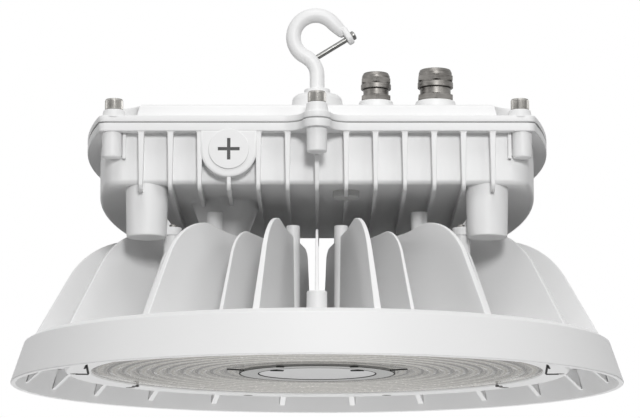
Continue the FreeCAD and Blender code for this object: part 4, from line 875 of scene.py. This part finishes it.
def make_centre():
    """The ring in the middle of the lens and its round cover, which turns to lock."""
    ring = new_object("centre_ring_body", [turned(rounded([
        (44.2, FRAME_BOTTOM, 0.4), (57.5, FRAME_BOTTOM, 0.5), (57.5, LENS_BOTTOM), (54.85, LENS_BOTTOM),
        (54.85, PLATE_BOTTOM), (40.0, PLATE_BOTTOM), (40.0, 12.6), (44.2, 12.6),
    ], 4), count=160)])
    settle(ring, ring_plastic, "ring_plastic", "centre_ring")
    low, rim, top = FRAME_BOTTOM + 0.3, 43.5, FRAME_BOTTOM + 2.1
    dome = 0.7
    radius = rim * rim / (dome * 2)
    face = []
    for step in range(12):
        out = rim * step / 12
        face.append((out, low - dome + radius - math.sqrt(radius ** 2 - out ** 2)))
    cover = new_object("centre_cover_body", [turned(face + [
        (rim - 0.3, low), (rim, low + 0.3), (rim, top), (39.85, top), (39.85, 15.5), (36.0, 15.5),
        (36.0, top), (0, top),
    ], count=160)])
    settle(cover, cover_plastic, "cover_plastic", "centre_cover")
    # thin dark rings of painted shade in the gaps round the ring and round the cover, in the black rubber
    # finish
    gap_low = FRAME_BOTTOM - 0.1
    gap_shade = new_object("centre_gaps", [
        turned([(inner, gap_low), (outer, gap_low), (outer, gap_high), (inner, gap_high)], count=160)
        for inner, outer, gap_high in ((57.4, 58.3, FRAME_BOTTOM + 0.2), (43.6, 44.3, 11.5))
    ])
    settle(gap_shade, rubber_and_gap_shade, "black_rubber", "centre_ring")


# driver box base: one casting


def rib(first_height, top, half_depth):
    """One rib: narrower downwards, rounded where it turns under the box, wider at the flange."""
    draft, half_at_top = math.tan(math.radians(1.1)), 2.15
    corner, flare, edge, middle = 5.0, 1.5, 0.5, 150.0
    heights = [first_height + corner - corner * math.cos(angle) for angle in quarter(6)]
    heights += [middle] + [top - flare + flare * math.sin(angle) for angle in quarter(5)]
    rings = []
    for height in heights:
        half = half_at_top - (top + 1 - height) * draft
        if height > top - flare:
            share = (height - (top - flare)) / flare
            half += flare * (1 - math.sqrt(max(1 - share * share, 0)))
        depth = half_depth
        if height < first_height + corner:
            share = 1 - (height - first_height) / corner
            depth -= corner * (1 - math.sqrt(max(1 - share * share, 0)))
        rings.append([(x, y, height) for x, y in rectangle(0, 0, half * 2, depth * 2, edge)])
    rings.append([(x, y, top + 2) for x, y, _ in rings[-1]])
    return stack(rings)


def make_ribs():
    """The row of ribs, with room for the box itself, the vent plug and the plug pad."""
    ribs = new_object("box_ribs", [rib(125.5, FLANGE_BOTTOM, 139.2)])
    grow(ribs, IN_A_ROW, white_coat, count=13, pitch=20.73 * MM)
    pad_room = cylinder(16.0, 0, 12.0)
    cut_away(ribs, [
        cylinder(VENT_RADIUS + 1.0, BOX_BOTTOM - 11.0, BOX_BOTTOM, VENT),
        layers(bulging_box(127.0, 146.0, 10.0, 685.0), [(0, BOX_FLOOR), (0, FLANGE_TOP + 1)]),
        facing_front(pad_room, PLUG[0], PAD_FACE + 8.0, PLUG[1]),
    ])
    settle(ribs, *WHITE_FINISH, "driver_box_base")


def make_box_walls():
    """The open box with its rounded lower edge, and the flange that the lid sits on."""
    plan = bulging_box(131.0, 151.3, 14.0, 689.0)
    wall, edge = 4.0, 3.5
    steps = [
        (edge * (1 - math.sin(angle)), BOX_BOTTOM + edge * (1 - math.cos(angle))) for angle in quarter(8)
    ]
    steps += [(0, FLANGE_TOP - 0.5), (wall, FLANGE_TOP - 0.5), (wall, BOX_FLOOR + 2), (wall + 2, BOX_FLOOR)]
    walls = layers(plan, steps)
    hole = inset(plan, wall)
    flange = ring_plate(flange_plan(), hole, [
        (2.0, FLANGE_BOTTOM), (0.8, FLANGE_BOTTOM), (0.25, FLANGE_BOTTOM + 0.25), (0, FLANGE_BOTTOM + 0.8),
        (0, FLANGE_TOP - 0.6), (0.2, FLANGE_TOP - 0.15), (0.6, FLANGE_TOP),
    ])
    item = new_object("box_walls", [walls, flange])
    settle(item, *WHITE_FINISH, "driver_box_base")


def boss(place, low, high, radius, foot_out=True):
    """A screw boss: a cylinder with its free edge rounded."""
    if foot_out:
        return turned(rounded([
            (0, low), (radius - 0.4, low, 1.4), (radius, high), (0, high),
        ]), place, 48)
    return turned(rounded([
        (0, low), (radius + 1.2, low), (radius, high, 1.0), (0, high),
    ]), place, 48)


def block(x, y, width, depth, low, high, edge=0.6):
    """An upright bar with rounded edges."""
    plan = rectangle(x, y, width, depth, edge)
    return layers(plan, [(edge, low), (0.2, low + 0.2), (0, low + edge), (0, high)])


def make_box_fittings():
    """Posts, cable duct, plug pad and screw bosses of the box base."""
    shells = []
    boss_bottom, boss_top = 150.5, FLANGE_BOTTOM + 1
    post_bottom, post_radius, post_end_radius = 95.0, 15.2, 14.2
    for place in POSTS:
        shells.append(turned(rounded([
            (0, post_bottom), (post_end_radius, post_bottom, 1.2), (post_radius, BOX_BOTTOM + 1),
            (0, BOX_BOTTOM + 1),
        ], 8), place, 96))
    ear_radius, ear_top, web, web_rise = 6.5, EAR_BOTTOM + 6.0, 3.6, 9.0
    for (x, y), (post_x, _) in zip(SEATS, POSTS):
        shells.append(turned(rounded([
            (0, EAR_BOTTOM), (ear_radius, EAR_BOTTOM, 0.6), (ear_radius, ear_top, 0.8), (0, ear_top),
        ], 4), (x, y), 48))
        middle, width = (x + post_x) / 2, abs(post_x - x)
        shells.append(block(middle, y, width, ear_radius * 2, EAR_BOTTOM, ear_top, 0.5))
        side = 1 if x > 0 else -1
        gusset = blade(rounded([
            (0, ear_top - 1), (width, ear_top - 1), (width, ear_top + web_rise),
            (width - 12.0, ear_top + web_rise), (0, ear_top + 1),
        ]), web, 0.0, 0.5, 0.0)
        shells.append(laid(gusset, lambda p, x=x, y=y, side=side: (x + side * p.x, y + p.y, p.z)))
    for x, y in CORNER_SCREWS:
        side = 1 if y > 0 else -1
        lean = 1 if x > 0 else -1
        shells.append(boss((x + 1.2 * lean, y), boss_bottom - 1.2, boss_top, 7.2))
        shells.append(block(x - 1.6 * lean, y - side * 6.0, 8.6, 15.0, boss_bottom, boss_top))
        shells.append(block(x - 7.6 * lean, y - side * 2.0, 2.6, 8.0, boss_bottom - 1.5, boss_top, 0.4))
    for x, y in CENTRE_SCREWS:
        side = 1 if y > 0 else -1
        shells.append(boss((x, y), boss_bottom, boss_top, 7.4))
        shells.append(block(x, y - side * 10.0, 4.3, 20.0, boss_bottom + 0.4, boss_top))
    neck, wide, neck_height = DUCT_RADIUS, 26.0, 99.0
    shells.append(turned(rounded([
        (DUCT_BORE, PLATE_TOP + 1.5, 0.4), (neck, PLATE_TOP + 1.5, 0.6), (neck, neck_height, 14.0),
        (wide - 0.6, BOX_BOTTOM - 0.5, 2.5), (wide + 4.0, BOX_BOTTOM + 0.6), (DUCT_BORE, BOX_BOTTOM + 0.6),
    ], 8), DUCT, 96))
    pad_radius, pad_round, pad_thickness = 20.0, 19.9, 11.0
    pad_high = boss_top - PLUG[1]
    pad = rounded([
        (pad_radius, -pad_radius, pad_round), (pad_radius, pad_high), (-pad_radius, pad_high),
        (-pad_radius, -pad_radius, pad_round),
    ], 20)
    shells.append(facing_front(layers(pad, [
        (0, 0), (0, pad_thickness - 1.2), (0.35, pad_thickness - 0.35), (1.2, pad_thickness),
    ]), PLUG[0], PAD_FACE + pad_thickness, PLUG[1]))
    item = new_object("box_fittings", shells)
    settle(item, *WHITE_FINISH, "driver_box_base")


# lid


def make_lid():
    """The lid: its raised middle, flange, screw bosses, hook shoulder and gland pedestals."""
    plan = raised_plan()
    wall = 6.0
    lean = math.tan(math.radians(12.0))
    foot, edge = 2.2, 3.0
    low, high = LID_FLANGE_TOP - 0.1, LID_TOP - edge
    top_inset = (high - LID_FLANGE_TOP) * lean
    steps = [(-foot * (1 - math.sin(angle)), low + foot * (1 - math.cos(angle))) for angle in quarter(5)]
    steps += [
        (top_inset + edge * (1 - math.cos(angle)), high + edge * math.sin(angle)) for angle in quarter(6)
    ]
    raised = layers(plan, steps)
    flange = ring_plate(flange_plan(), inset(plan, wall), [
        (0.6, LID_BOTTOM), (0.2, LID_BOTTOM + 0.15), (0, LID_BOTTOM + 0.6), (0, LID_FLANGE_TOP - 1.0),
        (0.3, LID_FLANGE_TOP - 0.3), (1.0, LID_FLANGE_TOP), (2.2, LID_FLANGE_TOP),
    ])
    item = new_object("lid_shell", [raised, flange])
    cut_away(item, [layers(inset(plan, wall), [(0, LID_BOTTOM - 1), (0, LID_INSIDE)])])
    settle(item, *WHITE_FINISH, "driver_box_lid")

    shells = [boss(place, LID_FLANGE_TOP - 1, CORNER_BOSS_TOP, 7.4, False) for place in CORNER_SCREWS]
    shells += [boss(place, LID_FLANGE_TOP - 1, CENTRE_BOSS_TOP, 7.2, False) for place in CENTRE_SCREWS]
    for x, y in CENTRE_SCREWS:
        side = 1 if y > 0 else -1
        shells.append(block(x, y - side * 13.0, 13.8, 26.0, LID_FLANGE_TOP - 1, CENTRE_BOSS_TOP - 1, 1.2))
    shoulder, top, collar_top = 216.0, 221.5, 226.0
    shells.append(turned(rounded([
        (0, LID_TOP - 1), (30.0, LID_TOP - 1), (24.6, LID_TOP + 3, 5.0), (19.0, shoulder, 1.0),
        (18.6, top, 5.2), (9.8, top, 0.8), (9.8, collar_top, 0.9), (0, collar_top),
    ], 8), count=96))
    for x, _, flats, _ in GLANDS.values():
        half = flats / 2
        shells.append(turned(rounded([
            (0, LID_TOP - 1), (half + 8.0, LID_TOP - 1), (half + 3.6, LID_TOP + 2, 4.0),
            (half + 2.0, PEDESTAL_TOP, 1.0), (0, PEDESTAL_TOP),
        ], 6), (x, GLAND_Y), 64))
    fittings = new_object("lid_fittings", shells)
    settle(fittings, *WHITE_FINISH, "driver_box_lid")


# screws, plug and vent


def make_lid_screws():
    """Socket head screws with knurled heads."""
    radius, height, socket, shank, ridges = 6.5, 8.0, 3.0, 4.0, 72
    core, half_ridge = radius - 0.25, 0.22
    hexagon = arc((0, 0), socket / math.cos(math.pi / 6), 0, 360, 6)[:-1]
    head = new_object("lid_screw_heads", [turned(rounded([
        (0, -height), (shank, -height), (shank, 0.0), (radius - 0.5, 0.0, 0.3), (core, 0.6),
        (core, height - 1.0), (radius - 0.6, height, 0.5), (0, height),
    ], 4), count=48)])
    cut_away(head, [layers(hexagon, [(0, height / 2), (0, height + 1)])])
    ridge = stack([
        [(radius - 0.4, -half_ridge, z), (radius, 0.0, z), (radius - 0.4, half_ridge, z)]
        for z in (0.6, height - 1.2)
    ])
    knurl = new_object("lid_screw_knurl", [ridge])
    grow(knurl, ROUND_THE_AXIS, stainless, count=ridges, first_angle=0.0)
    join_meshes(head, knurl)
    seats = [(x, y, CORNER_BOSS_TOP) for x, y in CORNER_SCREWS]
    seats += [(x, y, CENTRE_BOSS_TOP) for x, y in CENTRE_SCREWS]
    places = points_object("lid_screw_places", seats)
    grow(head, ON_PLACES, stainless, places=places)
    bpy.data.objects.remove(places)
    settle(head, stainless, "stainless_steel", "lid_screws")


def join_meshes(item, other):
    """Adds the mesh of another object to a piece; the other object goes."""
    work = bmesh.new()
    work.from_mesh(item.data)
    work.from_mesh(other.data)
    mesh = bpy.data.meshes.new(item.name)
    work.to_mesh(mesh)
    work.free()
    item.data = mesh
    bpy.data.objects.remove(other)


def on_pad(shell):
    """Puts a shell that was drawn standing up on the face of the plug pad."""
    return facing_front(shell, PLUG[0], PAD_FACE, PLUG[1])


def make_plug():
    """The blanking plug of the spare cable entry, with a cross slot."""
    radius, thread, proud = 14.25, 10.0, 0.9
    item = new_object("plug_body", [on_pad(turned(rounded([
        (0, -11.0), (thread, -11.0, 0.8), (thread, 0.2), (radius, 0.2, 0.1), (radius, proud, 0.3),
        (0, proud),
    ], 4), count=96))])
    long, wide, depth = 7.75, 1.2, 0.6
    cross = [
        (wide, -long), (wide, -wide), (long, -wide), (long, wide), (wide, wide), (wide, long),
        (-wide, long), (-wide, wide), (-long, wide), (-long, -wide), (-wide, -wide), (-wide, -long),
    ]
    low, shrink = proud - depth, 0.99
    cut_away(item, [on_pad(prism(cross, low, proud + 1))])
    settle(item, plug_coat, "plug_paint", "blanking_plug")
    # the shallow slot gets a dark grey floor: painted shade in the slot, on a plug that is white all over
    smaller = [(x * shrink, y * shrink) for x, y in cross]
    floor = new_object("plug_slot_floor", [on_pad(prism(smaller, low - 0.4, low + 0.1))])
    settle(floor, slot_shade, "plug_paint", "blanking_plug")


def make_vent():
    """The round vent plug under the box, with a bore through its thread."""
    bore, thread, low, seat, high = 1.0, 5.0, BOX_BOTTOM - 5.0, BOX_BOTTOM + 0.1, BOX_BOTTOM + 8.0
    item = new_object("vent_body", [turned(rounded([
        (bore, low, 0.3), (VENT_RADIUS, low, 1.2), (VENT_RADIUS, seat), (thread, seat), (thread, high),
        (bore, high),
    ], 4), VENT, 64)])
    settle(item, vent_plastic, "vent_plastic", "vent_plug")


# hook


def swept(points, radii, count=32):
    """A round bar along a line in the XZ plane, rounded at its ends."""
    circle = arc((0, 0), 1.0, 0, 360, count)[:-1]
    front = Vector((0, 1, 0))
    rings = []
    for number, point in enumerate(points):
        before = points[max(number - 1, 0)]
        after = points[min(number + 1, len(points) - 1)]
        along = (after - before).normalized()
        across = Vector((along.z, 0, -along.x))
        rings.append([tuple(point + (across * x + front * y) * radii[number]) for x, y in circle])
    return stack(rings)


def make_hook():
    """Round bar bent to an open hook, with a flat lug at its tip for the closing screw."""
    stock, bend = 5.6, 17.0
    loop = Vector((-1.1, 0, 266.6))
    bend_start = 236.6
    meet = Vector(((loop.x - bend) / 2, 0, (bend_start + loop.z) / 2))
    low_centre = Vector((-bend, 0, bend_start))
    points = [Vector((0, 0, 172.0)), Vector((0, 0, 200.0)), Vector((0, 0, 226.0))]
    first_turn = math.degrees(math.atan2(meet.z - low_centre.z, meet.x - low_centre.x))
    for x, z in arc((low_centre.x, low_centre.z), bend, 0, first_turn, 10):
        points.append(Vector((x, 0, z)))
    start_angle = math.degrees(math.atan2(meet.z - loop.z, meet.x - loop.x)) % 360
    for x, z in arc((loop.x, loop.z), bend, start_angle, 45.0, 34)[1:]:
        points.append(Vector((x, 0, z)))
    way = Vector((math.sin(math.radians(45)), 0, -math.cos(math.radians(45))))
    tip = points[-1]
    radii = [stock] * len(points)
    for reach, radius in ((3.0, 5.5), (6.0, 5.2), (9.0, 4.8), (12.0, 4.4), (14.0, 3.4), (14.8, 1.6)):
        points.append(tip + way * reach)
        radii.append(radius)
    bar = new_object("hook_bar", [swept(points, radii)])
    smooth(bar)

    angle = math.radians(31.8)
    along = Vector((math.cos(angle), 0, math.sin(angle)))
    up = Vector((-math.sin(angle), 0, math.cos(angle)))
    start = Vector((0.4, 0, 251.2))

    def on_axis(shell):
        """Lays a shell that was drawn standing on the closing screw's axis."""
        return laid(shell, lambda p: start + along * p.z + up * p.x + Vector((0, p.y, 0)))

    lug_radius, reach, thickness = 5.3, 28.0, 4.6
    lug_plan = arc((0, 0), lug_radius, 90, 270, 16) + arc((7.2, 1.5 - lug_radius), 1.5, -90, 0, 3)
    lug_plan += arc((7.2, lug_radius - 1.5), 1.5, 0, 90, 3)
    low, high = reach - thickness / 2, reach + thickness / 2
    lug = on_axis(layers(lug_plan, [
        (1.2, low), (0.35, low + 0.35), (0, low + 1.2), (0, high - 1.2), (0.35, high - 0.35), (1.2, high),
    ]))
    hole = 2.15
    cut_away(bar, [on_axis(cylinder(hole, -7.2, high + 3, count=24))])
    for item in (bar, new_object("hook_lug", [lug])):
        settle(item, hook_coat, "hook_paint", "hook")

    screw = 2.0
    head, head_height = 3.5, 3.0
    screw_item = new_object("closing_screw", [on_axis(turned(rounded([
        (0, -7.0), (screw, -7.0, 0.4), (screw, high), (head - 0.2, high, 0.3), (head, high + 0.5),
        (head, high + head_height - 0.6, 0.5), (head - 1.0, high + head_height, 0.6), (0, high + head_height),
    ], 4), count=40))])
    slot, slot_depth = rectangle(0, 0, 8.0, 1.0, 0), 1.1
    cut_away(screw_item, [on_axis(prism(slot, high + head_height - slot_depth, high + head_height + 1))])
    settle(screw_item, dark_steel, "dark_steel", "hook_screw")


# cable glands


def six_sided(flats, centre, steps, count=72):
    """A hexagonal band with bevelled corners: steps are (height, largest radius)."""
    rings = []
    for height, limit in steps:
        ring = []
        for number in range(count):
            angle = 2 * math.pi * number / count
            fold = angle % (math.pi / 3) - math.pi / 6
            radius = min(flats / 2 / math.cos(abs(abs(fold) - math.pi / 6)), limit)
            x, y = radius * math.cos(angle), radius * math.sin(angle)
            ring.append((centre[0] + x, centre[1] + y, height))
        rings.append(ring)
    return stack(rings)


def make_gland(name, x, thread, flats, height):
    """A cable gland: hexagonal body, round neck and a domed nut with a hexagonal band."""
    place = (x, GLAND_Y)
    seat = PEDESTAL_TOP
    hex_top = seat + height * 0.2
    nut_bottom = seat + height * 0.42
    band_bottom = seat + height * 0.6
    band_top = seat + height * 0.8
    top = seat + height
    half = flats / 2
    corner = half / math.cos(math.pi / 6)
    bore, clear = thread * 0.62, thread * 0.92 + 0.15
    neck, neck_top = half - 1.2, nut_bottom - 0.15
    body = new_object(name + "_gland_base", [
        six_sided(flats, place, [
            (seat, corner - 0.8), (seat + 0.5, corner), (hex_top - 0.7, corner), (hex_top, half),
        ]),
        turned(rounded([
            (bore, seat - 10.0), (thread, seat - 10.0, 0.6), (thread, seat + 0.1), (neck, seat + 0.1),
            (neck, neck_top, 0.4), (bore, neck_top),
        ], 4), place, 64),
    ])
    settle(body, nickel, "nickel_plate", name + "_gland_body")
    skirt, skirt_top = half + 0.6, band_bottom + 0.2
    nut = new_object(name + "_gland_cap", [
        turned(rounded([
            (clear, nut_bottom), (skirt, nut_bottom, 0.5), (skirt, skirt_top, 0.8), (clear, skirt_top),
        ], 4), place, 64),
        six_sided(flats, place, [
            (band_bottom, half + 0.2), (band_bottom + 0.8, corner), (band_top - 0.8, corner),
            (band_top, half),
        ]),
        turned(rounded([
            (bore, band_top - 0.2), (half - 0.2, band_top - 0.2), (half - 0.3, top - 2.4, 2.2),
            (thread * 1.12, top, 0.9), (bore, top, 0.6),
        ], 6), place, 64),
    ])
    cut_away(nut, [turned([
        (0, nut_bottom - 1), (clear, nut_bottom - 1), (clear, band_top), (bore, band_top), (bore, top + 1),
        (0, top + 1),
    ], place, 64)])
    settle(nut, nickel, "nickel_plate", name + "_gland_nut")


# build


make_fins()
make_rim()
make_columns()
make_lights()
make_lens()
make_lens_frame()
make_painted_catch_shade()
make_centre()
make_ribs()
make_box_walls()
make_box_fittings()
make_lid()
make_lid_screws()
make_plug()
make_vent()
make_hook()
for gland, measures in GLANDS.items():
    make_gland(gland, *measures)

CARRIED_OVER = {
    "led_board": board_mask,
    "lens_gasket": silicone,
    "frame_screws": stainless,
    "centre_cover_seal": silicone,
    "duct_seal": silicone,
    "post_screws": stainless,
    "driver_box_seal": silicone,
    "hook_washer": stainless,
    "hook_nut": stainless,
    "plug_seal": silicone,
    "led_driver": driver_case,
    "driver_screws": stainless,
    "terminal_block": terminal_plastic,
    "board_leads": wire_jacket,
    "small_gland_seal": rubber_and_gap_shade,
    "large_gland_seal": rubber_and_gap_shade,
}
for node_name, finish_material in CARRIED_OVER.items():
    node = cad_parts[node_name]
    node.data.materials.clear()
    node.data.materials.append(finish_material)


# floor, light and camera


def shade_by_ray(tree, rays, unseen, seen):
    """A grey that has one value where the rays meet it and another elsewhere."""
    mix = tree.nodes.new("ShaderNodeMix")
    mix.data_type = "RGBA"
    mix.inputs["A"].default_value = (unseen, unseen, unseen, 1)
    mix.inputs["B"].default_value = (seen, seen, seen, 1)
    tree.links.new(rays, mix.inputs["Factor"])
    return mix.outputs["Result"]


def make_floor():
    """A pale floor well below the lamp: white to the camera, a soft grey to other light."""
    mesh = bpy.data.meshes.new("floor")
    reach, height = 30.0, -1.3
    mesh.from_pydata(
        [(-reach, -reach, height), (reach, -reach, height), (reach, reach, height), (-reach, reach, height)],
        [], [(0, 1, 2, 3)],
    )
    floor = bpy.data.objects.new("floor", mesh)
    scene.collection.objects.link(floor)
    material = bpy.data.materials.new("Pale floor")
    material.use_nodes = True
    tree = material.node_tree
    shader = tree.nodes["Principled BSDF"]
    shader.inputs["Roughness"].default_value = 0.8
    rays = tree.nodes.new("ShaderNodeLightPath")
    shade = shade_by_ray(tree, rays.outputs["Is Camera Ray"], 0.5, 0.92)
    tree.links.new(shade, shader.inputs["Base Color"])
    mesh.materials.append(material)


def make_world():
    """White to the camera and in reflections, a plain soft grey as light."""
    world = bpy.data.worlds.new("Studio")
    scene.world = world
    world.use_nodes = True
    tree = world.node_tree
    background = tree.nodes["Background"]
    rays = tree.nodes.new("ShaderNodeLightPath")
    seen = math_node(tree, "MAXIMUM", rays.outputs["Is Camera Ray"], rays.outputs["Is Transmission Ray"])
    shown = math_node(tree, "MAXIMUM", seen, rays.outputs["Is Glossy Ray"])
    light_grey, white = 0.2, 1
    tree.links.new(shade_by_ray(tree, shown, light_grey, white), background.inputs["Color"])
    background.inputs["Strength"].default_value = 1.0


def make_lamp(name, place, size, power):
    """A round softbox that faces the middle of the part; its size in metres, its power in watts."""
    middle = Vector((0.0, 0.0, 0.13))
    light = bpy.data.lights.new(name, "AREA")
    light.shape = "DISK"
    light.size = size
    light.energy = power
    item = bpy.data.objects.new(name, light)
    item.location = place
    item.rotation_euler = (middle - Vector(place)).to_track_quat("-Z", "Y").to_euler()
    scene.collection.objects.link(item)


def make_camera():
    """Stands below the rim and looks slightly up, as in the photograph."""
    focal_pixels, image_width, pitch = 2821, 640, 9.097
    camera = bpy.data.cameras.new("Camera")
    camera.sensor_width = 36.0
    camera.lens = camera.sensor_width * focal_pixels / image_width
    item = bpy.data.objects.new("Camera", camera)
    item.location = (0.00215, -2.1, -0.202)
    item.rotation_euler = (math.radians(90 + pitch), 0, 0)
    scene.collection.objects.link(item)
    scene.camera = item


make_floor()
make_world()
for lamp_name, place, size, power in (
    ("Top softbox", (0.0, -0.9, 2.1), 1.2, 17.0),
    ("Key softbox", (0.3, -2.8, 1.0), 0.6, 36.0),
    ("Right softbox", (1.9, -2.1, 0.7), 0.8, 7.0),
    ("Left softbox", (-2.4, -1.0, 0.5), 0.8, 7.0),
    ("Low softbox", (0.0, 0.0, -1.25), 0.8, 12.0),
):
    make_lamp(lamp_name, place, size, power)
make_camera()
